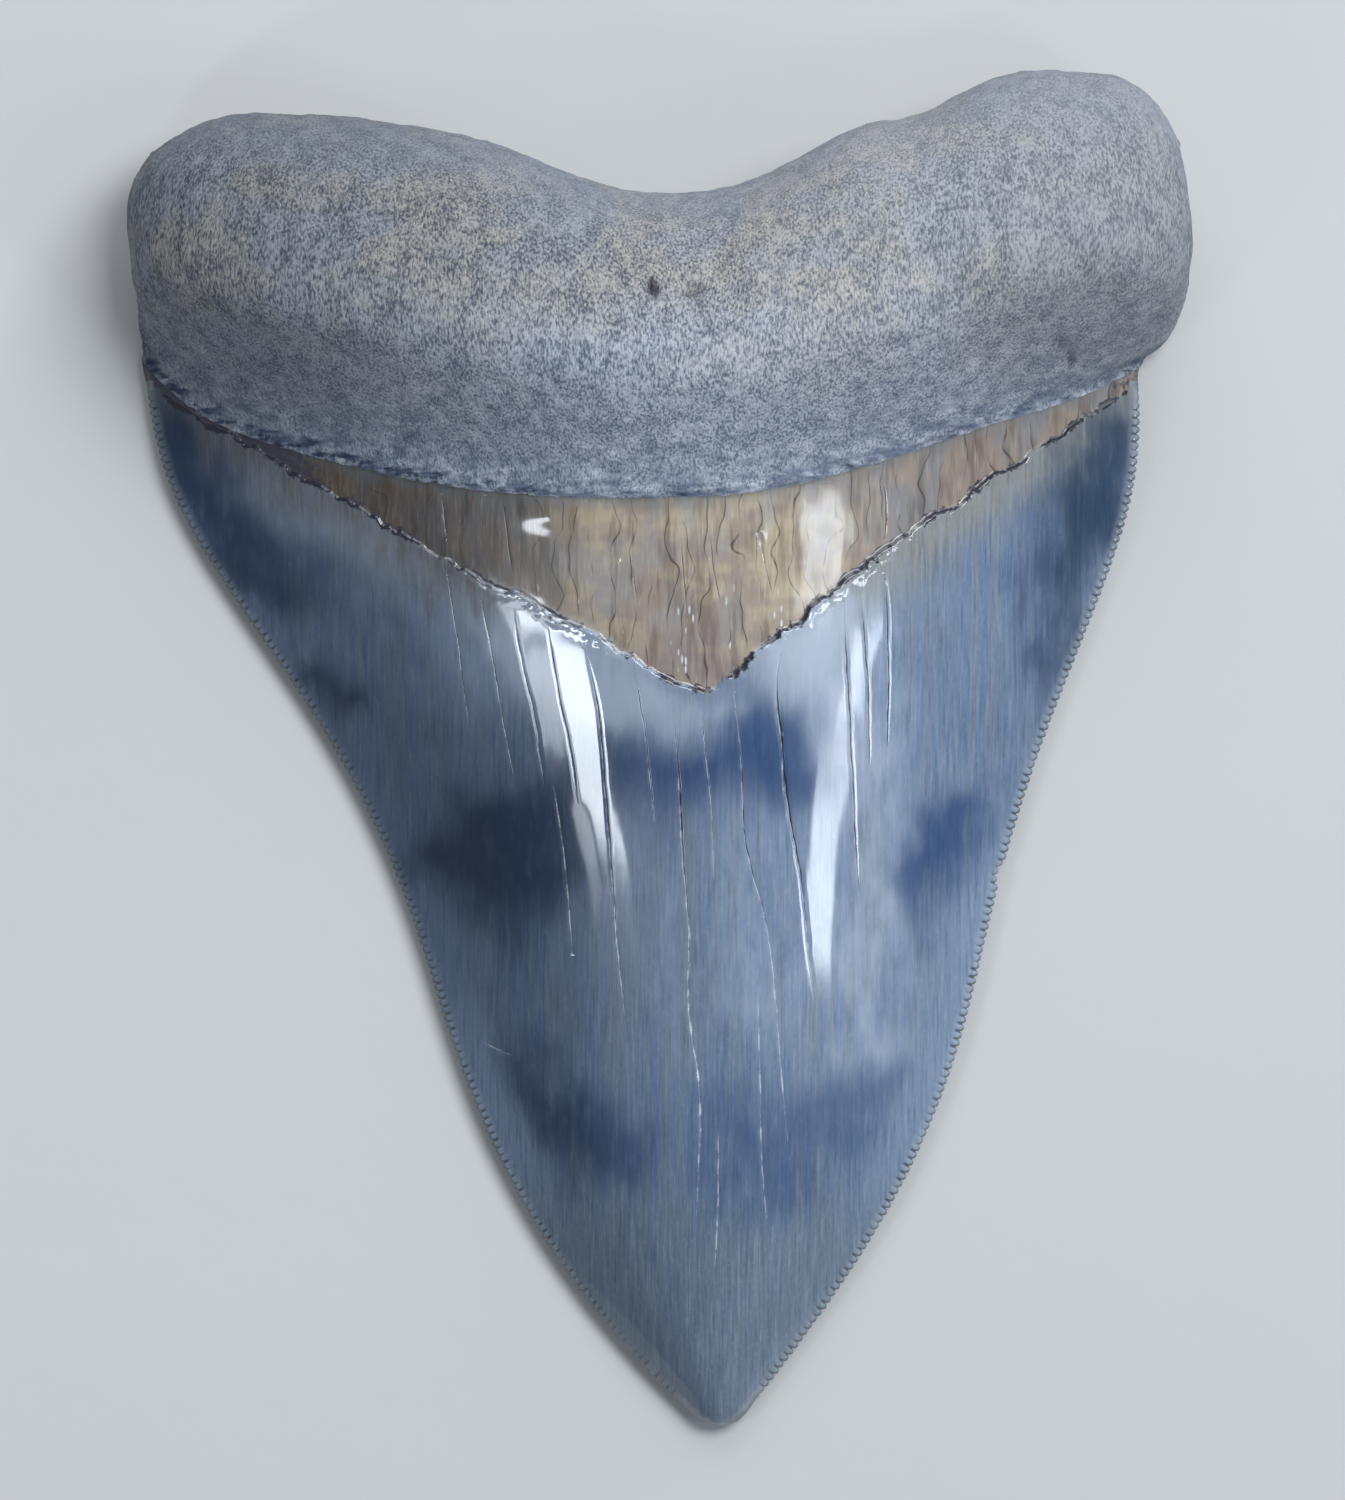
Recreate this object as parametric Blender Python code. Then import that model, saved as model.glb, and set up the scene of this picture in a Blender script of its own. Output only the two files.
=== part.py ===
"""Megalodon tooth: a fossil shark tooth that lies on its outer, labial face.

The tooth grew as one piece, so it is one closed solid. +X runs across it, +Y from the tip to the
root and +Z up, out of the inner, lingual face. The origin is on the surface that it lies on, under
the middle of its outline. Each face is a grid of quads bent to the form of the tooth. The two grids
are welded along the rim, which carries the saw teeth of the two cutting edges.
"""
import math

import bmesh
import bpy
import numpy as np

MM = 0.001

# Driving dimensions, in millimetres.
EDGE_HEIGHT = 1.6         # cutting edges above the surface that the tooth lies on
CROWN_RISE = 1.1          # height of the crown's middle, 1 mm from the tip
CROWN_POWER = 0.64        # how that height grows with the distance from the tip
DOME_POWER = 1.15         # 1 is a plain arch from edge to edge, more thins the edges
ROOT_RISE = 19.6          # height of the root above its widest line
LOBE_RIM = 7.0            # height of the widest line round the root, at the lobes
NOTCH_RIM = 9.5           # the same at the middle of the top margin
ENAMEL_STEP = 0.4         # down from the enamel to the bourlette
ROOT_LEDGE = 0.8          # up from the bourlette to the root
SAW_TOOTH = 0.22          # valley to peak of one saw tooth
SAW_TEETH_PER_ROW = 5

# Outline, with -X on the left. The rim runs from the tip up both sides to the lobes of the root.
TIP = ((2.0, -56.7), (3.2, -57.9), (5.2, -58.5), (6.9, -57.9), (8.2, -56.3))
LEFT_EDGE = (
    (2.0, -56.7), (-1.5, -53.1), (-10.9, -40.7), (-17.3, -26.9), (-21.8, -13.2), (-28.4, 0.6),
    (-37.6, 14.4), (-42.6, 23.8), (-44.3, 31.3),
)
RIGHT_EDGE = (
    (8.2, -56.3), (10.7, -53.0), (19.1, -40.7), (25.3, -26.9), (28.8, -13.1), (33.0, 0.7),
    (38.3, 14.3), (41.0, 24.0), (41.3, 31.3),
)
LEFT_NECK = ((-44.3, 31.3), (-44.6, 32.6), (-44.8, 34.0))
RIGHT_NECK = ((41.3, 31.3), (41.3, 32.5), (41.9, 33.6))
LEFT_LOBE = ((-44.8, 34.0), (-45.4, 39.5), (-45.9, 44.2), (-45.3, 48.9), (-43.8, 51.3))
RIGHT_LOBE = ((41.9, 33.6), (43.6, 34.9), (45.2, 38.2), (45.9, 42.0), (45.7, 47.2), (44.8, 52.0))
MARGIN = (
    (-43.8, 51.3), (-41.4, 52.9), (-37.9, 54.3), (-32.7, 54.7), (-25.8, 54.2), (-19.0, 53.2),
    (-13.8, 51.9), (-8.6, 49.8), (-3.4, 48.2), (1.7, 47.8), (6.9, 48.6), (12.1, 51.0),
    (17.2, 53.5), (21.5, 54.4), (26.7, 56.8), (31.0, 58.2), (35.3, 58.3), (39.6, 57.7),
    (42.9, 55.3), (44.8, 52.0),
)

# Borders across the faces, from the left rim to the right rim.
ENAMEL_BORDER = (
    (-44.3, 31.3), (-38.0, 27.4), (-31.0, 23.5), (-15.5, 14.5), (-5.2, 9.3), (0.4, 6.1),
    (3.4, 5.0), (6.3, 6.4), (9.9, 9.3), (19.0, 16.6), (29.3, 23.5), (41.3, 31.3),
)
ROOT_BORDER = (
    (-44.8, 34.0), (-40.6, 29.8), (-31.0, 25.7), (-15.5, 22.3), (-1.7, 21.6), (8.6, 22.2),
    (17.2, 24.3), (29.3, 28.3), (37.6, 31.2), (41.9, 33.6),
)
LABIAL_ENAMEL_BORDER = ((-44.3, 31.3), (-30.0, 27.6), (-14.0, 25.4), (0.0, 24.8), (14.0, 25.6),
                        (30.0, 28.0), (41.3, 31.3))
LABIAL_ROOT_BORDER = ((-44.8, 34.0), (-30.0, 29.4), (-14.0, 27.0), (0.0, 26.4), (14.0, 27.2),
                      (30.0, 29.8), (41.9, 33.6))

# The labial face is flat in its middle and lifts to the rim and the tip.
CROWN_FLAT = 0.4          # share of the half width that is flat
ROOT_FLAT = 0.45
TIP_LIFT_START = -30.0
TIP_LIFT_LENGTH = 28.5

# Broad swells (+) and hollows (-) of the root: x, y, radius and height.
ROOT_SWELLS = (
    (-30.0, 43.0, 10.0, 1.0),
    (32.0, 46.0, 9.0, 1.2),
    (3.4, 43.0, 5.0, -1.1),
    (-23.0, 46.3, 3.2, -0.5),
    (20.0, 48.0, 5.0, 0.6),
    (-12.0, 30.0, 7.0, 0.5),
    (16.0, 34.0, 7.0, 0.6),
)
# Nutrient openings in the root: x, y, width, length and depth.
ROOT_PITS = (
    (-0.6, 38.9, 0.9, 2.3, 1.4),
    (2.7, 38.6, 1.0, 1.2, 0.7),
    (35.2, 33.2, 1.0, 1.4, 0.8),
    (34.0, 34.6, 0.9, 0.9, 0.6),
)

# Rows of the grids run from rim to rim. Each is a band of the face and a share of the way up it.
COLUMNS = 34
RIM_CROWDING = 0.7        # 0 spaces the columns evenly, 1 crowds them at the rim
CROWN_ROWS = 34
NECK_ROWS = (0.05, 0.33, 0.66, 0.95)
ROOT_ROWS = 16
CROWN, NECK, ROOT = range(3)
ROWS = (
    [(CROWN, row / CROWN_ROWS) for row in range(CROWN_ROWS + 1)]
    + [(NECK, along) for along in NECK_ROWS]
    + [(ROOT, (row / ROOT_ROWS + math.sin(row / ROOT_ROWS * math.pi / 2)) / 2)
       for row in range(ROOT_ROWS + 1)]
)
LAST_ROW = len(ROWS) - 1
ROW_SLACK = 1e-4
WELD = 1e-7


def curve(points):
    """Return the natural cubic curve through the points, as a function of 0 to 1 along it."""
    points = np.array(points)
    gaps = np.linalg.norm(np.diff(points, axis=0), axis=1)
    knots = np.concatenate(([0.0], np.cumsum(gaps)))
    steps = np.diff(points, axis=0) / gaps[:, None]
    system = np.eye(len(points))
    pull = np.zeros_like(points)
    for i in range(1, len(points) - 1):
        system[i, i - 1:i + 2] = gaps[i - 1], 2 * (gaps[i - 1] + gaps[i]), gaps[i]
        pull[i] = 6 * (steps[i] - steps[i - 1])
    bend = np.linalg.solve(system, pull)

    def at(fraction):
        place = min(max(fraction, 0.0), 1.0) * knots[-1]
        i = min(int(np.searchsorted(knots, place, side="right")), len(gaps)) - 1
        after = (place - knots[i]) / gaps[i]
        before = 1 - after
        bow = (before ** 3 - before) * bend[i] + (after ** 3 - after) * bend[i + 1]
        return before * points[i] + after * points[i + 1] + bow * gaps[i] ** 2 / 6

    return at


def smoothstep(low, high, value):
    """Rise smoothly from 0 to 1 as the value goes from low to high."""
    part = min(max((value - low) / (high - low), 0.0), 1.0)
    return part * part * (3 - 2 * part)


SIDES = {
    CROWN: (curve(LEFT_EDGE), curve(RIGHT_EDGE)),
    NECK: (curve(LEFT_NECK), curve(RIGHT_NECK)),
    ROOT: (curve(LEFT_LOBE), curve(RIGHT_LOBE)),
}
LINGUAL = {
    CROWN: (curve(TIP), curve(ENAMEL_BORDER)),
    NECK: (curve(ENAMEL_BORDER), curve(ROOT_BORDER)),
    ROOT: (curve(ROOT_BORDER), curve(MARGIN)),
}
LABIAL = {
    CROWN: (curve(TIP), curve(LABIAL_ENAMEL_BORDER)),
    NECK: (curve(LABIAL_ENAMEL_BORDER), curve(LABIAL_ROOT_BORDER)),
    ROOT: (curve(LABIAL_ROOT_BORDER), curve(MARGIN)),
}


def plan(face, band, across, along):
    """Return x and y of a point in a band, which its lower and upper curves and its sides bound."""
    lower, upper = face[band]
    left, right = SIDES[band]
    between_curves = (1 - along) * lower(across) + along * upper(across)
    between_sides = (1 - across) * left(along) + across * right(along)
    low_chord = (1 - across) * lower(0) + across * lower(1)
    high_chord = (1 - across) * upper(0) + across * upper(1)
    return between_curves + between_sides - (1 - along) * low_chord - along * high_chord


def side_trace(side):
    """Sample one side of the crown, 0 for left and 1 for right, as rising y and its x."""
    steps = np.linspace(0, 1, 200)
    half_tip = [curve(TIP)(0.5 + (side - 0.5) * step) for step in steps]
    edge = [SIDES[CROWN][side](step) for step in steps[1:]]
    neck = [SIDES[NECK][side](step) for step in steps[1:]]
    trace = np.array(half_tip + edge + neck)
    return trace[:, 1], trace[:, 0]


LEFT_TRACE = side_trace(0)
RIGHT_TRACE = side_trace(1)
TIP_Y = LEFT_TRACE[0][0]
LEAST_HALF_WIDTH = 0.01


def towards_edge(x, y):
    """Return 0 on the middle line of the crown and 1 on a cutting edge."""
    left = np.interp(y, *LEFT_TRACE)
    right = np.interp(y, *RIGHT_TRACE)
    half_width = max((right - left) / 2, LEAST_HALF_WIDTH)
    return min(abs(x - (left + right) / 2) / half_width, 1.0)


def crown_height(x, y):
    """Return the height of the crown's domed lingual face."""
    dome = (1 - towards_edge(x, y) ** 2) ** DOME_POWER
    return EDGE_HEIGHT + CROWN_RISE * max(y - TIP_Y, 0) ** CROWN_POWER * dome


def crown_lift(x, y):
    """Return 0 on the flat of the crown's labial face, rising to 1 at its edges and its tip."""
    to_edge = max(towards_edge(x, y) - CROWN_FLAT, 0) / (1 - CROWN_FLAT)
    to_tip = min(max(TIP_LIFT_START - y, 0) / TIP_LIFT_LENGTH, 1)
    return 1 - (1 - to_edge ** 2) * (1 - to_tip ** 2)


def root_rim(across, along):
    """Return the height of the widest line round the root, carried on across its middle."""
    middle = 1 - (2 * across - 1) ** 2
    lobe = (LOBE_RIM - EDGE_HEIGHT) * smoothstep(0, 0.5, along)
    return EDGE_HEIGHT + lobe + (NOTCH_RIM - LOBE_RIM) * middle * along ** 2


def root_swell(x, y):
    """Return the sum of the broad swells and hollows at a point."""
    return sum(
        height * math.exp(-((x - middle_x) ** 2 + (y - middle_y) ** 2) / radius ** 2)
        for middle_x, middle_y, radius, height in ROOT_SWELLS
    )


def lingual_point(band, across, along):
    """Return a point of the upper, lingual face."""
    x, y = plan(LINGUAL, band, across, along)
    off_rim = 1 - abs(2 * across - 1) ** 8
    if band == CROWN:
        return x, y, crown_height(x, y)
    if band == NECK:
        return x, y, crown_height(x, y) - ENAMEL_STEP * off_rim
    border_x, border_y = LINGUAL[ROOT][0](across)
    at_border = crown_height(border_x, border_y) + ROOT_LEDGE * off_rim - EDGE_HEIGHT
    rounded = ROOT_RISE * (1 - abs(2 * across - 1) ** 2.6) ** 0.52
    grown = smoothstep(0, 0.4, along)
    rise = at_border * (1 - grown) + (rounded + root_swell(x, y) * off_rim) * grown
    return x, y, root_rim(across, along) + rise * (1 - along ** 2.9) ** 0.5


def labial_point(band, across, along):
    """Return a point of the lower, labial face."""
    x, y = plan(LABIAL, band, across, along)
    if band != ROOT:
        return x, y, EDGE_HEIGHT * crown_lift(x, y)
    border_x, border_y = LABIAL[ROOT][0](across)
    at_border = 1 - crown_lift(border_x, border_y)
    to_lobe = max(abs(2 * across - 1) - ROOT_FLAT, 0) / (1 - ROOT_FLAT)
    to_margin = max(along - ROOT_FLAT, 0) / (1 - ROOT_FLAT)
    rounded = ((1 - to_lobe ** 2.2) * (1 - to_margin ** 2.2)) ** 0.5
    grown = smoothstep(0, 0.4, along)
    return x, y, root_rim(across, along) * (1 - at_border * (1 - grown) - rounded * grown)


def saw_tooth(band, across, along, row):
    """Return the sideways shift of a rim point: out at a saw tooth's peak, in at its valley."""
    if band != CROWN or 0 < across < 1:
        return 0.0, 0.0
    edge = SIDES[CROWN][round(across)]
    run_x, run_y = edge(along + 0.01) - edge(along - 0.01)
    outward = np.array((-run_y, run_x)) if across == 0 else np.array((run_y, -run_x))
    is_peak = round(row * 2 * SAW_TEETH_PER_ROW) % 2
    depth = SAW_TOOTH / 2 if is_peak else -SAW_TOOTH / 2
    return outward / math.hypot(run_x, run_y) * depth * smoothstep(0, 0.03, along) * smoothstep(1, 0.97, along)


def place_on_row(row):
    """Return the band that a row number, whole or in parts, lies in and how far up the band."""
    whole = min(int(row + ROW_SLACK), LAST_ROW)
    band, along = ROWS[whole]
    if row - whole > ROW_SLACK:
        along += (ROWS[whole + 1][1] - along) * (row - whole)
    return band, along


def face_mesh(face_point):
    """Bend a grid to one face of the tooth, with the cutting edges cut fine for the saw teeth."""
    bm = bmesh.new()
    bmesh.ops.create_grid(bm, x_segments=COLUMNS, y_segments=LAST_ROW, size=0.5)
    for vert in bm.verts:
        vert.co = (vert.co.x + 0.5, (vert.co.y + 0.5) * LAST_ROW, 0)
    cutting_edges = [
        edge for edge in bm.edges
        if edge.is_boundary
        and abs(edge.verts[0].co.x - edge.verts[1].co.x) < ROW_SLACK
        and max(vert.co.y for vert in edge.verts) < CROWN_ROWS + ROW_SLACK
    ]
    bmesh.ops.subdivide_edges(bm, edges=cutting_edges, cuts=2 * SAW_TEETH_PER_ROW - 1)
    for vert in bm.verts:
        column = round(vert.co.x, 5)
        row = vert.co.y
        crowded = 0.5 - 0.5 * math.cos(column * math.pi)
        across = RIM_CROWDING * crowded + (1 - RIM_CROWDING) * column
        band, along = place_on_row(row)
        x, y, z = face_point(band, across, along)
        shift_x, shift_y = saw_tooth(band, across, along, row)
        vert.co = ((x + shift_x) * MM, (y + shift_y) * MM, z * MM)
    mesh = bpy.data.meshes.new("face")
    bm.to_mesh(mesh)
    bm.free()
    return mesh


def tooth_mesh():
    """Weld the two faces along the rim into one closed mesh."""
    bm = bmesh.new()
    lingual = face_mesh(lingual_point)
    labial = face_mesh(labial_point)
    labial.flip_normals()
    for face in (lingual, labial):
        bm.from_mesh(face)
        bpy.data.meshes.remove(face)
    bmesh.ops.remove_doubles(bm, verts=[vert for vert in bm.verts if vert.is_boundary], dist=WELD)
    bmesh.ops.triangulate(bm, faces=bm.faces)
    mesh = bpy.data.meshes.new("megalodon_tooth")
    bm.to_mesh(mesh)
    bm.free()
    mesh.shade_smooth()
    mesh.set_sharp_from_angle(angle=math.radians(35))
    return mesh


def fossil_material():
    """Return the blue-grey of fossil enamel and bone."""
    material = bpy.data.materials.new("fossil")
    material.use_nodes = True
    shader = material.node_tree.nodes["Principled BSDF"]
    shader.inputs["Base Color"].default_value = (0.16, 0.20, 0.26, 1)
    shader.inputs["Roughness"].default_value = 0.35
    shader.inputs["Metallic"].default_value = 0.0
    return material


def pit_cutter(name, x, y, z, width, length, depth):
    """Return an egg-shaped cutter, half sunk at the point."""
    bm = bmesh.new()
    bmesh.ops.create_icosphere(bm, subdivisions=2, radius=1)
    mesh = bpy.data.meshes.new(name)
    bm.to_mesh(mesh)
    bm.free()
    cutter = bpy.data.objects.new(name, mesh)
    cutter.location = (x * MM, y * MM, z * MM)
    cutter.scale = (width / 2 * MM, length / 2 * MM, depth * MM)
    cutter.hide_render = True
    cutter.display_type = "WIRE"
    return cutter


for old in list(bpy.data.objects):
    bpy.data.objects.remove(old, do_unlink=True)

parts = bpy.data.collections.new("megalodon_tooth")
cutters = bpy.data.collections.new("cutters")
for collection in (parts, cutters):
    bpy.context.scene.collection.children.link(collection)

tooth = bpy.data.objects.new("megalodon_tooth", tooth_mesh())
tooth.data.materials.append(fossil_material())
parts.objects.link(tooth)
bpy.context.view_layer.update()

for number, (x, y, width, length, depth) in enumerate(ROOT_PITS):
    above = (x * MM, y * MM, 1)
    surface = tooth.ray_cast(above, (0, 0, -1))[1]
    cutter = pit_cutter(f"root_pit_{number}", x, y, surface.z / MM, width, length, depth)
    cutters.objects.link(cutter)
    opening = tooth.modifiers.new(f"root_pit_{number}", "BOOLEAN")
    opening.operation = "DIFFERENCE"
    opening.solver = "EXACT"
    opening.object = cutter
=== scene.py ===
"""Fossil megalodon tooth lying on its flat outer face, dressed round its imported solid.

The tooth grew as one piece. Its zones are made one after another, from the rim inwards, and are then
welded into a single closed mesh: root, saw-toothed crown with its bourlette and enamel, outer face.
Lengths are in millimetres until the weld. +X runs across the tooth, +Y from tip to root, +Z up.
"""
import math

import bmesh
import bpy
import numpy as np
from mathutils import Matrix, Vector, geometry, kdtree, noise


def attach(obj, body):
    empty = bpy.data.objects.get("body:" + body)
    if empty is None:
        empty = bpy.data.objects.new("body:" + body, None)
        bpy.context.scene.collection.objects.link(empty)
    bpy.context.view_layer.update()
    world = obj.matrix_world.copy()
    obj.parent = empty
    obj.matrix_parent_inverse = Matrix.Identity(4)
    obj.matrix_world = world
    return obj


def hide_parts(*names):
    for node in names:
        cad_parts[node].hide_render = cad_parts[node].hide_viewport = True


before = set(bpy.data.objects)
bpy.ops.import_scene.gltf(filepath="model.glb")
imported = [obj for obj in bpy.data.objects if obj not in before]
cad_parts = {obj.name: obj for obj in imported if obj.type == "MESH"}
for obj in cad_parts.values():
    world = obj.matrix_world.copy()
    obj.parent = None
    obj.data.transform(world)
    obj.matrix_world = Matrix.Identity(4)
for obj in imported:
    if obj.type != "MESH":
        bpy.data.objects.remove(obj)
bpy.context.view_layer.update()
MM = 0.001

# ---------------------------------------------------------------------------------------------
# Camera on a stand, straight above the tooth as it lies, with a long lens. The middle of its view
# is a millimetre to the right of the tooth's middle.
camera_height = 1.2
view_level = 0.004
view_height = 0.12924
view_middle = (0.00108, -0.00017)

lens = bpy.data.cameras.new("camera")
lens.sensor_width = 36.0
lens.lens = lens.sensor_width * (camera_height - view_level) / view_height
lens.clip_start = 0.01
camera = bpy.data.objects.new("camera", lens)
camera.location = (*view_middle, camera_height)
bpy.context.scene.collection.objects.link(camera)
bpy.context.scene.camera = camera

# ---------------------------------------------------------------------------------------------
# Studio: a pale matt table top under the tooth, and soft lamps round it. The small lamps hang
# where the polished crown mirrors them, as bright streaks on each side of its middle.
table_size = 6.0
table_drop = 0.00002
lamp_target = Vector((0.0, 0.0, 0.01))
cool_white = (0.95, 0.98, 1.0)
sky_white = (0.86, 0.93, 1.0)


def linear(red, green, blue):
    """Return a colour, given as 0 to 255 on a screen, as the renderer's linear values."""
    shares = (np.array((red, green, blue)) / 255 + 0.055) / 1.055
    return (*(float(value) for value in shares ** 2.4), 1.0)


def soft_lamp(name, place, size, watts, colour=cool_white):
    """Hang a rectangular lamp that faces the tooth. Its size is across the tooth and along it."""
    light = bpy.data.lights.new(name, "AREA")
    light.shape = "RECTANGLE"
    light.size, light.size_y = size
    light.energy = watts
    light.color = colour
    back = (Vector(place) - lamp_target).normalized()
    across = Vector((0, 1, 0)).cross(back).normalized()
    facing = Matrix((across, back.cross(across), back)).transposed()
    lamp = bpy.data.objects.new(name, light)
    lamp.matrix_world = Matrix.Translation(place) @ facing.to_4x4()
    lamp.visible_camera = False
    bpy.context.scene.collection.objects.link(lamp)


soft_lamp("lamp_main", (0.36, 0.33, 0.75), (0.5, 0.4), 5.8)
soft_lamp("lamp_over_root", (-0.05, 0.72, 0.52), (0.6, 0.3), 1.8)
soft_lamp("lamp_right", (0.60, 0.66, 0.22), (0.5, 0.3), 1.0)
soft_lamp("streak_left", (-0.1145, -0.0757, 0.1638), (0.035, 0.0172), 0.038, sky_white)
soft_lamp("streak_left_dim", (-0.1385, -0.079, 0.145), (0.018, 0.016), 0.007, sky_white)
soft_lamp("streak_right", (0.4565, -0.186, 0.378), (0.094, 0.038), 0.17, sky_white)
soft_lamp("streak_right_dim", (0.477, -0.151, 0.363), (0.066, 0.016), 0.05, sky_white)
soft_lamp("streak_bourlette", (0.3865, -0.1155, 0.453), (0.096, 0.028), 0.115, sky_white)

world = bpy.data.worlds.new("studio")
world.use_nodes = True
backdrop = world.node_tree.nodes["Background"]
backdrop.inputs["Color"].default_value = linear(214, 222, 232)
backdrop.inputs["Strength"].default_value = 0.25
bpy.context.scene.world = world
bpy.context.scene.view_settings.view_transform = "Standard"

bm = bmesh.new()
bmesh.ops.create_grid(bm, x_segments=1, y_segments=1, size=table_size / 2)
table_mesh = bpy.data.meshes.new("table_top")
bm.to_mesh(table_mesh)
bm.free()
table = bpy.data.objects.new("table_top", table_mesh)
table.location.z = -table_drop
bpy.context.scene.collection.objects.link(table)


def put(tree, socket, value):
    """Set an input, or link it where the value is another node's output."""
    if isinstance(value, bpy.types.NodeSocket):
        tree.links.new(value, socket)
    else:
        socket.default_value = value


def add_node(tree, kind, inputs=None, **settings):
    """Add a node to a tree, with its settings, and with each input set or linked."""
    node = tree.nodes.new(kind)
    for name, value in settings.items():
        setattr(node, name, value)
    for name, value in (inputs or {}).items():
        put(tree, node.inputs[name], value)
    return node


def new_material(name, **constants):
    """Return a new material, its node tree and its shader, with constants on the shader."""
    material = bpy.data.materials.new(name)
    material.use_nodes = True
    shader = material.node_tree.nodes["Principled BSDF"]
    for socket, value in constants.items():
        shader.inputs[socket.replace("_", " ")].default_value = value
    return material, material.node_tree, shader


table_paint, tree, shader = new_material("table_paint", Roughness=0.9)
shader.inputs["Base Color"].default_value = linear(206, 207, 208)
nap = add_node(tree, "ShaderNodeTexNoise", {"Scale": 400.0, "Detail": 3.0})
bump = add_node(tree, "ShaderNodeBump", {"Height": nap.outputs["Fac"], "Distance": 0.0001})
tree.links.new(bump.outputs["Normal"], shader.inputs["Normal"])
table_mesh.materials.append(table_paint)

# ---------------------------------------------------------------------------------------------
# Rim of the tooth, its widest line, where its two faces meet: the tip, two cutting edges, two
# short necks, two root lobes, and the top margin that dips between the lobes.
tip = ((2.0, -56.7), (3.2, -57.9), (5.2, -58.5), (6.9, -57.9), (8.2, -56.3))
left_edge = (
    (2.0, -56.7), (-1.5, -53.1), (-10.9, -40.7), (-17.3, -26.9), (-21.8, -13.2), (-28.4, 0.6),
    (-37.6, 14.4), (-42.6, 23.8), (-44.3, 31.3),
)
right_edge = (
    (8.2, -56.3), (10.7, -53.0), (19.1, -40.7), (25.3, -26.9), (28.8, -13.1), (33.0, 0.7),
    (38.3, 14.3), (41.0, 24.0), (41.3, 31.3),
)
left_neck = ((-44.3, 31.3), (-44.6, 32.6), (-44.8, 34.0))
right_neck = ((41.3, 31.3), (41.3, 32.5), (41.9, 33.6))
left_lobe = ((-44.8, 34.0), (-45.4, 39.5), (-45.9, 44.2), (-45.3, 48.9), (-43.8, 51.3))
right_lobe = ((41.9, 33.6), (43.6, 34.9), (45.2, 38.2), (45.9, 42.0), (45.7, 47.2), (44.8, 52.0))
top_margin = (
    (-43.8, 51.3), (-41.4, 52.9), (-37.9, 54.3), (-32.7, 54.7), (-25.8, 54.2), (-19.0, 53.2),
    (-13.8, 51.9), (-8.6, 49.8), (-3.4, 48.2), (1.7, 47.8), (6.9, 48.6), (12.1, 51.0),
    (17.2, 53.5), (21.5, 54.4), (26.7, 56.8), (31.0, 58.2), (35.3, 58.3), (39.6, 57.7),
    (42.9, 55.3), (44.8, 52.0),
)
edge_height = 1.6


def curve(points):
    """Return the natural cubic curve through the points, as a function of shares along it."""
    points = np.array(points, float)
    gaps = np.linalg.norm(np.diff(points, axis=0), axis=1)
    knots = np.concatenate(([0.0], np.cumsum(gaps)))
    steps = np.diff(points, axis=0) / gaps[:, None]
    system = np.eye(len(points))
    pull = np.zeros_like(points)
    for i in range(1, len(points) - 1):
        system[i, i - 1:i + 2] = gaps[i - 1], 2 * (gaps[i - 1] + gaps[i]), gaps[i]
        pull[i] = 6 * (steps[i] - steps[i - 1])
    bend = np.linalg.solve(system, pull)

    def at(shares):
        place = np.clip(shares, 0.0, 1.0) * knots[-1]
        i = np.clip(np.searchsorted(knots, place, side="right"), 1, len(gaps)) - 1
        after = ((place - knots[i]) / gaps[i])[..., None]
        before = 1 - after
        bow = (before ** 3 - before) * bend[i] + (after ** 3 - after) * bend[i + 1]
        return before * points[i] + after * points[i + 1] + bow * gaps[i][..., None] ** 2 / 6

    at.length = knots[-1]
    return at


tip_arc = curve(tip)
cutting_edges = (curve(left_edge), curve(right_edge))
necks = (curve(left_neck), curve(right_neck))
lobes = (curve(left_lobe), curve(right_lobe))
margin = curve(top_margin)


def smoothstep(low, high, value):
    """Rise smoothly from 0 to 1 as the value goes from low to high."""
    part = np.clip((value - low) / (high - low), 0.0, 1.0)
    return part * part * (3 - 2 * part)


def side_trace(side):
    """Sample one side of the crown, 0 for left and 1 for right, as rising y and its x."""
    shares = np.linspace(0, 1, 400)
    half_tip = tip_arc(0.5 + (side - 0.5) * shares)
    trace = np.vstack((half_tip, cutting_edges[side](shares[1:]), necks[side](shares[1:])))
    return trace[:, 1], trace[:, 0]


left_trace = side_trace(0)
right_trace = side_trace(1)
tip_y = left_trace[0][0]


def towards_edge(spots):
    """Return 0 on the middle line of the crown, 1 on its right edge and -1 on its left."""
    left = np.interp(spots[:, 1], *left_trace)
    right = np.interp(spots[:, 1], *right_trace)
    half_width = np.maximum((right - left) / 2, 0.01)
    return np.clip((spots[:, 0] - (left + right) / 2) / half_width, -1, 1)


# The crown's inner face is an arch from edge to edge, which grows from the tip to the root.
crown_rise = 1.1
crown_power = 0.64
dome_power = 1.15


def crown_height(spots):
    """Return the height of the crown's arched inner face."""
    dome = (1 - towards_edge(spots) ** 2) ** dome_power
    return edge_height + crown_rise * np.maximum(spots[:, 1] - tip_y, 0) ** crown_power * dome


# The outer face is flat in its middle, where the tooth lies, and lifts to the edges and the tip.
crown_flat = 0.4
root_flat = 0.45
tip_lift_start = -30.0
tip_lift_length = 28.5


def crown_lift(spots):
    """Return 0 on the flat of the crown's outer face, rising to 1 at its edges and its tip."""
    to_edge = np.maximum(np.abs(towards_edge(spots)) - crown_flat, 0) / (1 - crown_flat)
    to_tip = np.clip((tip_lift_start - spots[:, 1]) / tip_lift_length, 0, 1)
    return 1 - (1 - to_edge ** 2) * (1 - to_tip ** 2)


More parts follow.
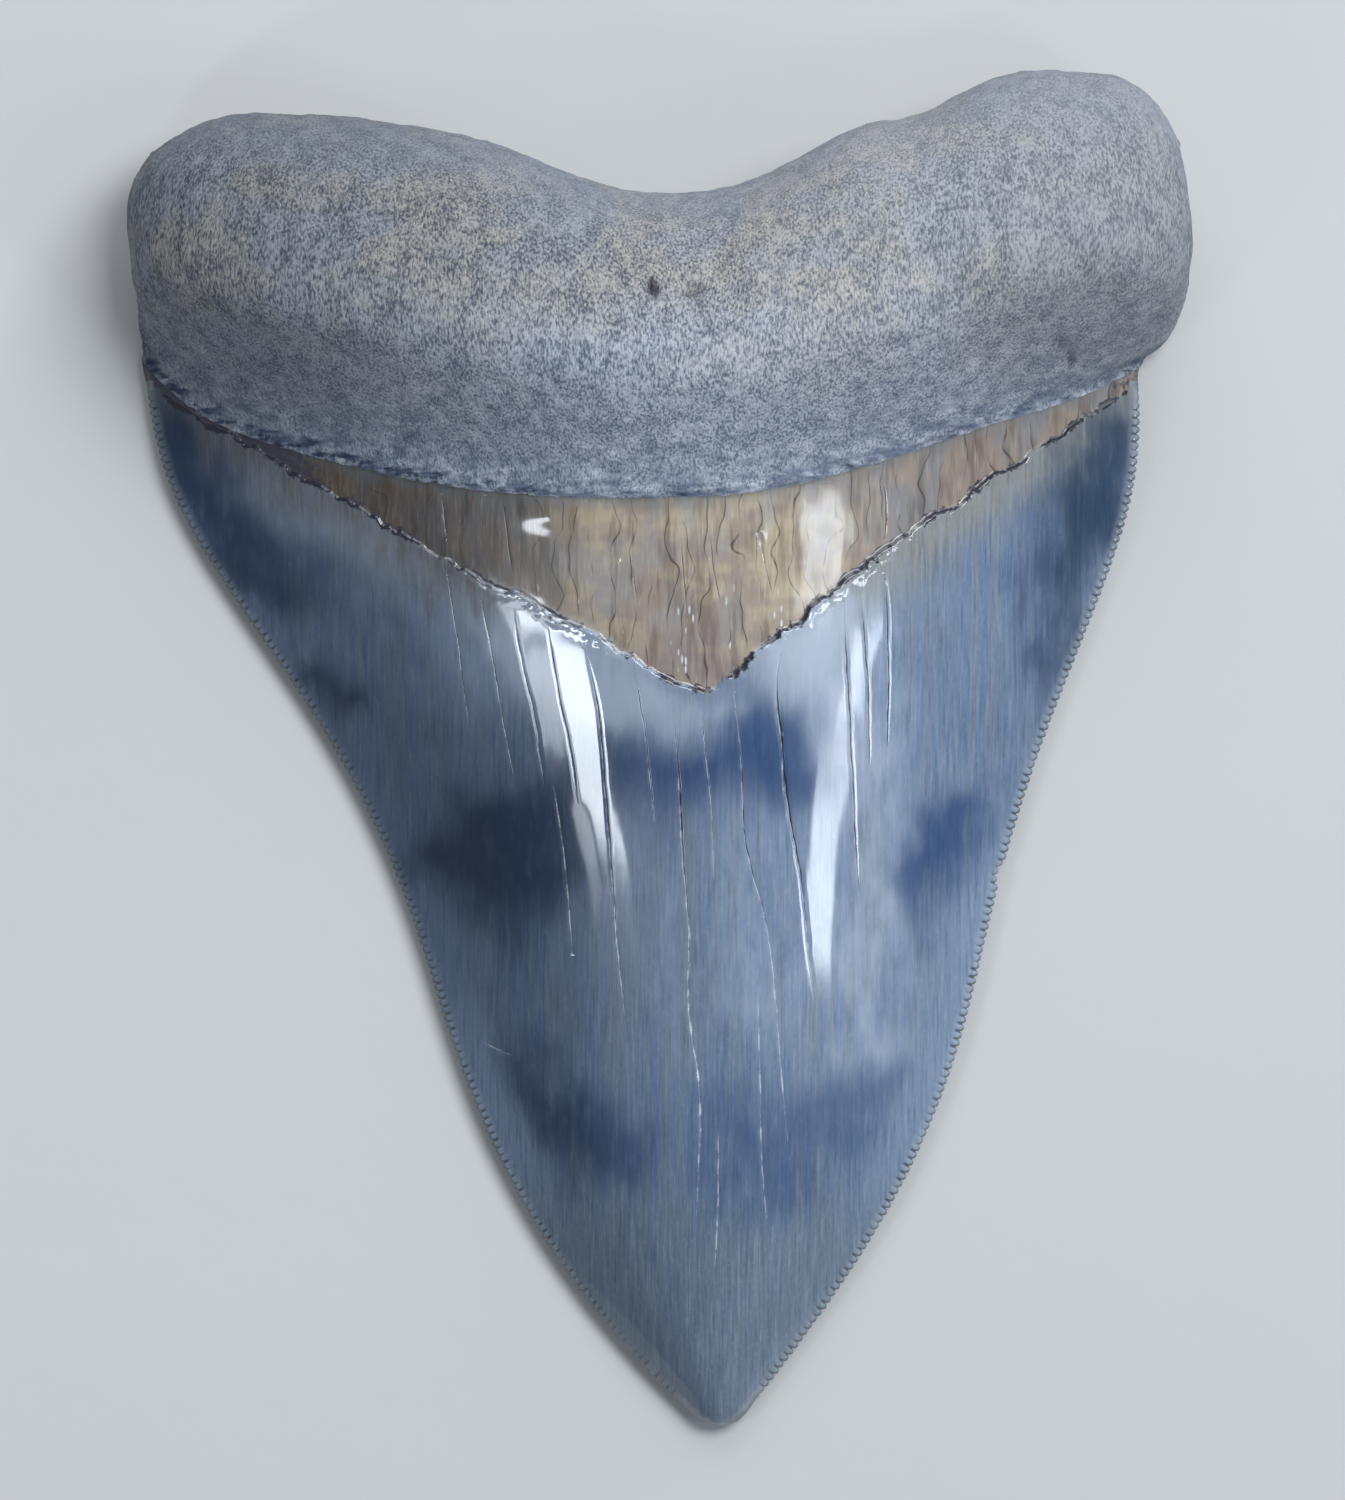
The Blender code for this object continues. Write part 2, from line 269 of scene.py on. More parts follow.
# ---------------------------------------------------------------------------------------------
# Root: thick porous bone in two rounded lobes, which the gum held. Mineral water stained it grey
# and navy. Its lower border stands a little proud of the bare band below it.
root_border = curve((
    (-44.8, 34.0), (-40.6, 29.8), (-31.0, 25.7), (-15.5, 22.3), (-1.7, 21.6), (8.6, 22.2),
    (17.2, 24.3), (29.3, 28.3), (37.6, 31.2), (41.9, 33.6),
))
outer_root_border = curve((
    (-44.8, 34.0), (-30.0, 29.4), (-14.0, 27.0), (0.0, 26.4), (14.0, 27.2), (30.0, 29.8),
    (41.9, 33.6),
))
root_rise = 19.6
lobe_rim = 7.0
notch_rim = 9.5
root_ledge = 0.4
ledge_rounding = 0.25
# The root's length, and the share of it over which it grows from the crown's height to its own.
root_length = 26.0
grown_by = 0.4
root_columns = 320
root_rows = 100
outer_root_mesh = 0.6
# Broad swells (+) and hollows (-): x, y, radius, height.
root_swells = (
    (-30.0, 43.0, 10.0, 1.0),
    (32.0, 46.0, 9.0, 1.2),
    (3.4, 43.0, 5.0, -1.1),
    (-23.0, 46.3, 3.2, -0.5),
    (-31.0, 46.0, 1.8, -0.28),
    (-27.0, 45.0, 1.8, -0.32),
    (-19.0, 43.6, 2.0, -0.3),
    (20.0, 48.0, 5.0, 0.6),
    (-12.0, 30.0, 7.0, 0.5),
    (16.0, 34.0, 7.0, 0.6),
    (26.0, 38.0, 4.0, -0.35),
    (38.0, 40.0, 4.0, -0.3),
)
# Nutrient openings and small pits, which lean a little: x, y, half width, half length, depth.
root_pits = (
    (-0.6, 38.9, 0.26, 0.85, 1.2),
    (2.3, 38.5, 0.35, 0.35, 0.5),
    (3.0, 38.9, 0.8, 0.7, 0.35),
    (35.2, 33.2, 0.28, 0.75, 0.7),
    (34.2, 34.4, 0.3, 0.4, 0.5),
    (32.6, 36.5, 0.3, 0.35, 0.3),
    (29.5, 38.2, 0.3, 0.3, 0.3),
    (-21.0, 33.5, 0.35, 0.35, 0.3),
    (-28.6, 45.6, 0.7, 0.25, 0.3),
)
pit_lean = 0.25


def plan(lower, upper, sides, across, along):
    """Return x and y in a zone that a lower curve, an upper curve and two sides bound."""
    ends = np.array((0.0, 1.0))
    low_ends, high_ends = lower(ends), upper(ends)
    curves = (1 - along)[:, None] * lower(across) + along[:, None] * upper(across)
    both_sides = (1 - across)[:, None] * sides[0](along) + across[:, None] * sides[1](along)
    low_chord = (1 - across)[:, None] * low_ends[0] + across[:, None] * low_ends[1]
    high_chord = (1 - across)[:, None] * high_ends[0] + across[:, None] * high_ends[1]
    return curves + both_sides - (1 - along)[:, None] * low_chord - along[:, None] * high_chord


def root_rim(across, along):
    """Return the height of the widest line round the root, carried on across its middle."""
    middle = 1 - (2 * across - 1) ** 2
    lobe = (lobe_rim - edge_height) * smoothstep(0, 0.5, along)
    return edge_height + lobe + (notch_rim - lobe_rim) * middle * along ** 2


def pit_shape(spots, x, y, half_width, half_length):
    """Return 1 in the middle of a pit, falling to 0 outside it."""
    from_y = spots[:, 1] - y
    from_x = spots[:, 0] - x + pit_lean * from_y
    return np.exp(-((from_x / half_width) ** 2 + (from_y / half_length) ** 2) ** 1.5)


def off_rim(share):
    """Return 0 on the rim, where the share is 1 or -1, and nearly 1 away from it."""
    return 1 - np.abs(share) ** 8


def lobe_arch(across):
    """Return the root's rounding from lobe to lobe, 1 in its middle and 0 at its sides."""
    return (1 - np.abs(2 * across - 1) ** 2.6) ** 0.52


def margin_arch(along):
    """Return the root's rounding from its border, where it is 1, to 0 at its top margin."""
    return (1 - np.clip(along, 0, 1) ** 2.9) ** 0.5


def inner_root(across, along):
    """Return points of the root's upward, inner face."""
    spots = plan(root_border, margin, lobes, across, along)
    from_rim = off_rim(2 * across - 1)
    at_border = crown_height(root_border(across)) + root_ledge * from_rim - edge_height
    rounded = root_rise * lobe_arch(across)
    for x, y, radius, height in root_swells:
        from_middle = (spots[:, 0] - x) ** 2 + (spots[:, 1] - y) ** 2
        rounded = rounded + height * from_rim * np.exp(-from_middle / radius ** 2)
    grown = smoothstep(0, grown_by, along)
    rise = at_border * (1 - grown) + rounded * grown
    z = root_rim(across, along) + np.where(from_rim > 0, rise, 0) * margin_arch(along)
    z = z - ledge_rounding * (1 - smoothstep(0, 0.035, along)) * from_rim
    for *place_and_size, depth in root_pits:
        z = z - depth * pit_shape(spots, *place_and_size)
    return np.column_stack((spots, z))


def outer_root(across, along):
    """Return points of the root's outer face, which the tooth lies on."""
    spots = plan(outer_root_border, margin, lobes, across, along)
    at_border = 1 - crown_lift(outer_root_border(across))
    to_lobe = np.maximum(np.abs(2 * across - 1) - root_flat, 0) / (1 - root_flat)
    to_margin = np.maximum(along - root_flat, 0) / (1 - root_flat)
    rounded = ((1 - to_lobe ** 2.2) * (1 - to_margin ** 2.2)) ** 0.5
    grown = smoothstep(0, grown_by, along)
    z = root_rim(across, along) * (1 - at_border * (1 - grown) - rounded * grown)
    return np.column_stack((spots, z))


def grid_faces(columns, rows):
    """Join the points of a grid, row after row, by triangles that mirror at its middle."""
    first = (np.arange(rows)[:, None] * (columns + 1) + np.arange(columns)).ravel()
    right, above, beyond = first + 1, first + columns + 1, first + columns + 2
    on_left = first % (columns + 1) < columns / 2
    lower = np.column_stack((first, right, np.where(on_left, above, beyond)))
    upper = np.column_stack((np.where(on_left, right, first), beyond, above))
    return np.vstack((lower, upper))


def net_faces(spots, outline):
    """Join flat points by triangles inside an outline, given by its points' numbers in turn."""
    corners = [Vector(spot) for spot in spots]
    rim = [outline.tolist()]
    made = geometry.delaunay_2d_cdt(corners, [], rim, 0, 1e-6, True)
    _, _, triangles, sources, _, insides = made
    kept = [triangle for triangle, inside in zip(triangles, insides) if inside]
    return np.array([[sources[corner][0] for corner in triangle] for triangle in kept])


def staggered(low, high, spacing):
    """Return points in staggered rows between two corners."""
    across = np.arange(low[0], high[0], spacing)
    up = np.arange(low[1], high[1], spacing * math.sqrt(3) / 2)
    shift = np.where(np.arange(len(up)) % 2, spacing / 2, 0)
    x = across[None, :] + shift[:, None]
    y = np.broadcast_to(up[:, None], x.shape)
    return np.column_stack((x.ravel(), y.ravel()))


# Every zone is its points, its triangles, a finish for each triangle and notes for each point.
BONE, BARE, ENAMEL = range(3)
note_names = (
    "crack", "flake", "gap", "crust", "bare", "ledge", "bone", "pit", "inner", "spread_x", "spread_y",
)
zones = []
lobe_spread = 6.0
margin_spread = 12.0
border_reach = 1.6


def add_zone(points, faces, finishes, notes):
    """Keep a zone of the tooth until they are all welded."""
    full_notes = {name: notes.get(name, np.zeros(len(points))) for name in note_names}
    zones.append((points, faces, np.broadcast_to(finishes, len(faces)), full_notes))


def spread(across, along):
    """Return how far the root's steep sides reach out, across and along, when it is laid flat."""
    wide = np.sign(2 * across - 1) * (1 - lobe_arch(across)) * smoothstep(0, grown_by, along)
    return {"spread_x": lobe_spread * wide, "spread_y": margin_spread * (1 - margin_arch(along))}


def by_border(along):
    """Return 1 on the root's lower border, which falls off within its reach."""
    return np.exp(-along * root_length / border_reach)


columns = np.linspace(0, 1, root_columns + 1)
rows = np.linspace(0, 1, root_rows + 1)
root_across = 0.5 * columns + 0.5 * (0.5 - 0.5 * np.cos(columns * math.pi))
root_along = 0.5 * rows + 0.5 * np.sin(rows * math.pi / 2)
across, along = (part.ravel() for part in np.meshgrid(root_across, root_along))
root_points = inner_root(across, along)
ones = np.ones(len(root_points))
# Pits are painted dark as shade, the deeper ones darker.
pit_shade = sum(min(depth, 1) * pit_shape(root_points, *pit) for *pit, depth in root_pits)
add_zone(root_points, grid_faces(root_columns, root_rows), BONE, {
    "ledge": by_border(along), "bone": ones, "pit": pit_shade, "inner": ones, **spread(across, along),
})

# The outer side is joined more coarsely in its middle. Its net is laid out flat, 90 by 25.
flat_size = np.array((90.0, 25.0))
ring = np.vstack((
    np.column_stack((root_across, 0 * root_across)),
    np.column_stack((0 * root_along + 1, root_along))[1:],
    np.column_stack((root_across, 0 * root_across + 1))[-2::-1],
    np.column_stack((0 * root_along, root_along))[-2:0:-1],
))
clearance = outer_root_mesh * 0.7
inside = staggered((clearance, clearance), flat_size - clearance, outer_root_mesh) / flat_size
inside = inside[(inside[:, 0] < 1 - clearance / flat_size[0])]
shares = np.vstack((ring, inside))
outer_points = outer_root(shares[:, 0], shares[:, 1])
outer_faces = net_faces(shares * flat_size, np.arange(len(ring)))
add_zone(outer_points, outer_faces, BONE, {
    "ledge": by_border(shares[:, 1]), "bone": np.ones(len(shares)), **spread(*shares.T),
})

# ---------------------------------------------------------------------------------------------
# Cutting edges: enamel in fine saw teeth, right down to the tip. Each is a rounded bead, with a
# groove beside it that runs a little way up both faces.
saw_pitch = 0.69
saw_depth = 0.3
points_per_saw_tooth = 6
# Chains of points that follow the edge: distance from the rim, groove depth, darkness in a gap.
saw_chains = ((0.0, 0.0, 1.0), (0.22, 0.06, 1.0), (0.5, 0.09, 0.75), (0.85, 0.0, 0.0))
saw_dice = np.random.default_rng(7)
# A chip that broke off the right edge: share along it, half length in teeth, depth.
edge_chip = (0.535, 1.3, 0.35)


def square_to(line):
    """Return unit vectors square to a line of points, on its left hand."""
    run = np.gradient(line, axis=0)
    run /= np.linalg.norm(run, axis=1)[:, None]
    return np.column_stack((-run[:, 1], run[:, 0]))


def saw_edge(side):
    """Return each chain along a cutting edge: its points, how deep it is grooved and how dark."""
    edge = cutting_edges[side]
    teeth = round(edge.length / saw_pitch)
    steps = np.linspace(0, teeth, teeth * points_per_saw_tooth + 1)
    line = edge(steps / teeth)
    outward = square_to(line) * (1 if side == 0 else -1)
    fade = smoothstep(0, 3, steps) * smoothstep(teeth, teeth - 3, steps)
    sizes = np.interp(steps, np.arange(teeth + 1), saw_dice.uniform(0.6, 1.15, teeth + 1)) * fade
    bead = np.abs(np.sin(steps * math.pi)) ** 0.7 - 0.5
    gap = np.abs(np.cos(steps * math.pi)) ** 3 * sizes
    share, half_length, depth = edge_chip
    chip = side * depth * np.exp(-((steps - share * teeth) / half_length) ** 4)
    chains = []
    for inset, groove, dark in saw_chains:
        shift = bead * saw_depth * sizes * (inset == 0) - inset - chip * math.exp(-inset / 0.5)
        chains.append((line + outward * shift[:, None], gap * groove, gap * dark))
    return chains


saws = (saw_edge(0), saw_edge(1))

# ---------------------------------------------------------------------------------------------
# Border of the enamel, across each face: a broken, crusty lip. On the inner face it runs down to
# a point and leaves a bare chevron of dentine, the bourlette, between itself and the root.
enamel_border = curve((
    (-44.3, 31.3), (-38.0, 27.4), (-31.0, 23.5), (-15.5, 14.5), (-5.2, 9.3), (0.4, 6.1),
    (3.4, 5.0), (6.3, 6.4), (9.9, 9.3), (19.0, 16.6), (29.3, 23.5), (41.3, 31.3),
))
outer_enamel_border = curve((
    (-44.3, 31.3), (-30.0, 27.6), (-14.0, 25.4), (0.0, 24.8), (14.0, 25.6), (30.0, 28.0),
    (41.3, 31.3),
))
enamel_step = 0.4
lip_spacing = 0.28
# Chains along the lip: distance up from the border, rise, crust, and 1 where it is bare dentine.
lip_chains = (
    (-0.66, 0.0, 0.12, 0), (-0.24, 0.07, 0.5, 0), (0.0, 0.03, 1.0, 0), (0.18, 0.0, 0.9, 1),
    (0.45, 0.0, 0.5, 1),
)


def jitter(spots, size, seed):
    """Return smooth noise at flat points, with lumps about as large as the size."""
    return np.array([noise.noise(Vector((x / size, y / size, seed))) for x, y in spots])


def lip_rows(border):
    """Return the lip's chains, with their rise, crust and bareness, and the line of its edge."""
    shares = np.linspace(0.012, 0.988, int(border.length / lip_spacing))
    line = border(shares)
    fade = np.clip(np.minimum(shares, 1 - shares) * 12, 0, 1)
    ragged = (jitter(line, 2.2, 1.3) * 0.5 + jitter(line, 0.6, 2.3) * 0.3) * fade
    lumps = 1 + 1.8 * jitter(line, 0.5, 8.3)
    thick = np.clip(0.85 + 0.9 * jitter(line, 1.6, 4.3), 0.3, 1.2)
    rows = [
        (line + square_to(line) * (ragged + reach)[:, None], rise * lumps, crust * thick, bare)
        for reach, rise, crust, bare in lip_chains
    ]
    return rows, line + square_to(line) * ragged[:, None]


# ---------------------------------------------------------------------------------------------
# Cracks that opened along the enamel's fibres as it dried, some of them on into the bourlette.
# Each is a fine groove with curled lips and painted glints along them: half width, depth, and
# the points it follows.
cracks = (
    (0.03, 0.12, ((-15.3, 12.6), (-15.0, 11.4), (-13.4, 2.3), (-12.5, -2.3))),
    (0.035, 0.14, ((-12.4, 11.6), (-12.1, 9.2), (-10.9, 3.7), (-9.9, -3.2))),
    (0.025, 0.08, ((-9.0, -3.4), (-8.3, -8.1), (-7.5, -17.5))),
    (0.04, 0.16, ((-9.5, 10.2), (-8.7, 5.3), (-7.6, -0.4), (-7.0, -4.6))),
    (0.05, 0.20, ((-6.4, 8.6), (-5.3, 3.7), (-4.8, -1.8), (-4.2, -9.4), (-3.6, -17.1),
                  (-2.8, -24.7))),
    (0.035, 0.12, ((-2.1, 6.2), (-1.2, 0.9), (-0.5, -5.9))),
    (0.07, 0.28, ((1.1, 3.4), (1.6, -1.8), (2.1, -10.5), (2.5, -15.5), (2.5, -22.3), (3.4, -29.2),
                  (3.4, -34.7), (3.1, -41.3))),
    (0.025, 0.10, ((3.5, 3.2), (4.0, -1.2), (4.5, -6.7), (4.6, -11.6))),
    (0.03, 0.11, ((5.0, -32.0), (5.0, -38.5), (4.7, -45.1))),
    (0.04, 0.15, ((6.3, 4.6), (7.0, -1.8), (7.4, -8.4), (8.9, -14.1), (9.8, -19.9), (10.3, -26.4),
                  (11.3, -36.4))),
    (0.09, 0.32, ((10.3, 8.2), (10.0, 5.6), (10.4, 0.9), (10.9, -4.6), (11.9, -10.0),
                  (12.7, -17.1), (13.3, -22.3))),
    (0.045, 0.16, ((15.7, 12.4), (16.0, 6.5), (16.4, -0.4), (16.7, -7.3), (17.4, -15.5))),
    (0.04, 0.13, ((17.1, 13.4), (17.7, 6.5), (17.9, -2.8))),
    (0.045, 0.16, ((19.2, 15.3), (19.5, 9.2), (19.4, -1.5))),
    (0.03, 0.12, ((8.4, -20.5), (8.6, -28.6), (8.8, -36.1), (9.4, -42.4))),
    (0.025, 0.08, ((-18.1, 14.5), (-17.1, 7.8), (-16.4, 2.3))),
    (0.03, 0.10, ((-15.2, -25.3), (-14.2, -25.8), (-12.8, -26.4))),
    (0.04, 0.15, ((19.1, 22.7), (19.3, 20.0), (19.2, 17.9))),
    (0.04, 0.14, ((-13.3, 20.6), (-13.0, 18.0), (-12.6, 15.2))),
    (0.03, 0.10, ((-18.6, 21.4), (-18.4, 19.6), (-18.2, 17.8))),
    (0.03, 0.11, ((4.3, 18.0), (4.6, 15.0), (5.3, 12.0))),
    (0.03, 0.11, ((1.8, 17.2), (2.1, 14.0), (2.3, 10.9))),
    (0.03, 0.11, ((-2.3, 19.6), (-2.4, 16.6), (-1.9, 12.4))),
    (0.03, 0.10, ((8.6, 18.3), (8.9, 16.0), (9.6, 13.2))),
    (0.05, 0.16, ((18.3, 16.2), (18.9, 15.4), (19.2, 14.0))),
)
crack_point_spacing = 0.33
crack_wander = 0.08
crack_curl = 0.004
# Towards the tip, long cracks are filled with pale mineral: where that starts and is complete.
pale_start = -4.0
pale_full = -22.0
pale_length = 6.0
# Chains across a crack: side, reach past its half width, share of its depth, curl, dark, painted glint.
crack_chains = (
    (-1, 0.36, 0.0, 0.0, 0.0, 0.0),
    (-1, 0.06, 0.0, 1.0, 0.0, 0.1),
    (-1, 0.0, 0.1, 1.0, 0.4, 0.9),
    (0, 0.0, 1.0, 0.0, 1.0, 0.0),
    (1, 0.0, 0.1, 1.0, 0.4, 0.0),
    (1, 0.06, 0.0, 1.0, 0.0, 0.0),
    (1, 0.36, 0.0, 0.0, 0.0, 0.0),
)


def crack_points(half_width, depth, points):
    """Return a crack's points: how deep they are sunk, how dark, their painted glint and pale fill."""
    path = curve(points)
    shares = np.linspace(0, 1, max(int(path.length / crack_point_spacing), 6))
    line = path(shares)
    wander = jitter(line, 1.3, depth * 40) * crack_wander * np.sin(shares * math.pi)
    square = square_to(line)
    line = line + square * wander[:, None]
    taper = np.minimum(np.sin(np.clip(shares, 0.02, 0.98) * math.pi) * 2.2, 1.0)
    open_by = half_width * taper * np.clip(0.8 + jitter(line * (1, 0.6), 0.9, 3.3), 0.35, 1.4)
    pale = smoothstep(pale_start, pale_full, line[:, 1]) * (path.length > pale_length)
    made = []
    for side, past, deep, curl, dark, glint_and_fill_share in crack_chains:
        reach = side * (open_by + past)
        sunk = depth * taper * deep * (1 - 0.6 * pale) - crack_curl * curl * taper
        glint_and_pale_fill = np.maximum(glint_and_fill_share, pale * dark * 1.2)
        made.append(np.column_stack((
            line + square * reach[:, None], sunk, dark * taper * (1 - 0.75 * pale), glint_and_pale_fill * taper,
        )))
    return np.vstack(made)


# Strips of enamel between neighbouring cracks sprang flatter than the arch as they dried: the cracks
# to the left and right of the strip, counted from 0, and the strip's lowest and highest y.
flat_strips = ((1, 3, -6.0, 12.0), (3, 4, -6.5, 10.0), (11, 12, -3.0, 13.0))


def sprung(spots):
    """Return how far the strips between neighbouring cracks stand off the crown's arch."""
    x, y = spots.T
    off_arch = np.zeros(len(spots))
    for *pair, low, high in flat_strips:
        paths = [curve(cracks[number][2])(np.linspace(1, 0, 60)) for number in pair]
        left, right = (np.interp(y, path[:, 1], path[:, 0]) for path in paths)
        share = (x - left) / (right - left)
        ends = [crown_height(np.column_stack((side, y))) for side in (left, right)]
        flat = (1 - share) * ends[0] + share * ends[1]
        fade = smoothstep(low, low + 4, y) * smoothstep(high + 1, high, y)
        on_strip = (share > 0) & (share < 1)
        off_arch += np.where(on_strip, flat - crown_height(spots), 0) * fade
    return off_arch


# ---------------------------------------------------------------------------------------------
# Crown, on each face: polished enamel below the lip and bare dentine above it. Its points are
# the rim, the chains of saw teeth, lip and cracks, and staggered rows that fill what is left.
enamel_mesh = 0.5
bourlette_mesh = 0.36
outer_mesh = 0.85
crown_corners = ((-46, -59), (46, 35))
# New points keep this clear of the ones already there. For the rows, it is a share of their spacing.
chain_clearance = 0.15
crack_clearance = 0.2
rim_clearance = 0.6
row_clearance = 0.56
# The foot of the root's ledge: how far out it stands, and how much that varies.
ledge_foot = (0.32, 0.14)
# The x between which the lip's painted glints come, from the left, and go again.
lip_glint_comes = (-17, -12)
lip_glint_goes = (-1, -4)
crown_notes = ("sunk", "crack", "flake", "gap", "crust", "bare", "ledge", "on_rim", "on_border")


def near(spots, others, reach):
    """Tell which spots lie within reach of any of the others."""
    tree = kdtree.KDTree(len(others))
    for number, (x, y) in enumerate(others):
        tree.insert((x, y, 0), number)
    tree.balance()
    return np.array([tree.find((x, y, 0))[2] < reach for x, y in spots], bool)


def inside_edges(x, y):
    """Return how far points are inside the nearer side of the crown."""
    return np.minimum(x - np.interp(y, *left_trace), np.interp(y, *right_trace) - x)


def height_at(border, x):
    """Return the y at which a border passes x."""
    return np.interp(x, *border(np.linspace(0, 1, 600)).T)


def crown_face(root_line, lip_curve, low_mesh, high_mesh, crack_list):
    """Return a face of the crown: flat points, their notes and the numbers of its outline."""
    parts = []

    def add(spots, clear_by=0.0, **notes):
        columns = [np.broadcast_to(notes.get(name, 0.0), len(spots)) for name in crown_notes]
        part = np.column_stack((spots, *columns))
        if clear_by:
            taken = np.vstack(parts)[:, :2]
            part = part[~near(spots, taken, clear_by)]
        parts.append(part)

    # The outline, anticlockwise from the tip.
    tip_shares = np.linspace(0, 1, 21)[1:-1]
    neck_shares = np.linspace(0, 1, 8)[1:-1]
    left, right = saws
    add(tip_arc(tip_shares), on_rim=1)
    add(right[0][0], on_rim=1, gap=right[0][2])
    add(necks[1](neck_shares), on_rim=1, bare=1)
    add(root_line(root_across)[::-1], ledge=1, bare=1, on_border=1)
    add(necks[0](neck_shares)[::-1], on_rim=1, bare=1)
    add(left[0][0][::-1], on_rim=1, gap=left[0][2][::-1])
    outline = np.arange(sum(len(part) for part in parts))

    # Chains inside the saw teeth.
    keep = slice(points_per_saw_tooth, -points_per_saw_tooth)
    for chains in saws:
        for spots, groove, dark in chains[1:]:
            add(spots[keep], sunk=groove[keep], gap=dark[keep])

    # Foot of the root's ledge, then the enamel's lip.
    foot = root_line(np.linspace(0.008, 0.992, 320))
    reach = ledge_foot[0] + ledge_foot[1] * jitter(foot, 1.0, 5.3)
    add(foot - square_to(foot) * reach[:, None], chain_clearance, ledge=0.9, bare=1)
    rows, lip_line = lip_rows(lip_curve)
    for spots, rise, crust, bare in rows:
        x = spots[:, 0]
        # Painted glints on the crust of the lip's left part.
        lip_glint = crust * smoothstep(*lip_glint_comes, x) * smoothstep(*lip_glint_goes, x)
        add(spots, chain_clearance, sunk=-rise, crust=crust, flake=lip_glint, bare=bare)

    # Cracks, clear of what is there.
    made = np.vstack([crack_points(*crack) for crack in crack_list])
    lip_x, lip_y = lip_line[np.argsort(lip_line[:, 0])].T
    above = made[:, 1] > np.interp(made[:, 0], lip_x, lip_y)
    sunk, dark, glint_and_fill_share = made[:, 2:].T
    add(made[:, :2], crack_clearance, sunk=sunk, crack=dark, flake=glint_and_fill_share, bare=above)

    # Staggered rows below and above the lip.
    for spacing, bare in ((low_mesh, 0), (high_mesh, 1)):
        spots = staggered(*crown_corners, spacing)
        x, y = spots.T
        in_face = (inside_edges(x, y) > rim_clearance) & (y > tip_y)
        in_face &= (y > np.interp(x, lip_x, lip_y)) == bare
        in_face &= y < height_at(root_line, x)
        add(spots[in_face], spacing * row_clearance, bare=bare)

    made = np.vstack(parts)
    return made[:, :2], dict(zip(crown_notes, made[:, 2:].T)), outline


def crown_finishes(faces, notes):
    """Return the finish of each triangle, from the notes of its corners."""
    is_bare = (notes["bare"][faces] > 0.5).all(axis=1)
    on_border = (notes["on_border"][faces] > 0.5).any(axis=1)
    return np.where(on_border, BONE, np.where(is_bare, BARE, ENAMEL))


spots, notes, outline = crown_face(root_border, enamel_border, enamel_mesh, bourlette_mesh, cracks)
from_rim = off_rim(towards_edge(spots))
z = crown_height(spots) + sprung(spots) - notes["sunk"] - enamel_step * notes["bare"] * from_rim
z = np.where(notes["on_rim"] > 0, edge_height, z)
z[notes["on_border"] > 0] = inner_root(root_across, 0 * root_across)[::-1, 2]
faces = net_faces(spots, outline)
notes["inner"] = np.ones(len(spots))
add_zone(np.column_stack((spots, z)), faces, crown_finishes(faces, notes), notes)

# The outer face is nearly flat. Its dentine is recessed by a small step, and short cracks of one
# half width and depth run down it from its lip.
outer_enamel_step = 0.12
outer_crack_size = (0.06, 0.14)
outer_crack_dice = np.random.default_rng(23)
outer_cracks = []
for x in np.linspace(-30, 30, 13):
    x = x + outer_crack_dice.uniform(-1.5, 1.5)
    length = outer_crack_dice.uniform(5, 22) * (1 - abs(x) / 60)
    top = 22.5 + abs(x) * 0.06
    lean = -0.12 * x / 30 * length
    path = ((x, top), (x + lean * 0.4, top - length * 0.5), (x + lean, top - length))
    outer_cracks.append((*outer_crack_size, path))
spots, notes, outline = crown_face(
    outer_root_border, outer_enamel_border, outer_mesh, outer_mesh * 0.7, outer_cracks
)
from_rim = off_rim(towards_edge(spots))
z = edge_height * crown_lift(spots) + np.maximum(notes["sunk"], 0)
z = z + outer_enamel_step * notes["bare"] * from_rim * (notes["on_border"] == 0)
z = np.where(notes["on_rim"] > 0, edge_height, z)
faces = net_faces(spots, outline)
add_zone(np.column_stack((spots, z)), faces[:, ::-1], crown_finishes(faces, notes), notes)

# ---------------------------------------------------------------------------------------------
# Weld: the zones share the points of their borders, so they close into one skin. Then the skin
# gets its low relief: lumps and fibres in the bone, ripples in the dentine, faint waves in enamel.
weld_distance = 2e-6
points = np.vstack([zone[0] for zone in zones])
starts = np.cumsum([0] + [len(zone[0]) for zone in zones])
faces = np.vstack([zone[1] + start for zone, start in zip(zones, starts)])
finishes = np.concatenate([zone[2] for zone in zones])
tooth_mesh = bpy.data.meshes.new("tooth")
tooth_mesh.from_pydata((points * MM).tolist(), [], faces.tolist())
tooth_mesh.polygons.foreach_set("material_index", finishes.astype(np.int32))
on_inner_face = np.repeat((1, 0, 1, 0), [len(zone[1]) for zone in zones]).astype(np.int32)
tooth_mesh.attributes.new("inner_face", "INT", "FACE").data.foreach_set("value", on_inner_face)


def write_notes(name, values):
    """Keep a note with the mesh's points."""
    made = tooth_mesh.attributes.new(name, "FLOAT", "POINT")
    made.data.foreach_set("value", np.asarray(values, np.float32))


for name in note_names:
    write_notes(name, np.concatenate([zone[3][name] for zone in zones]))

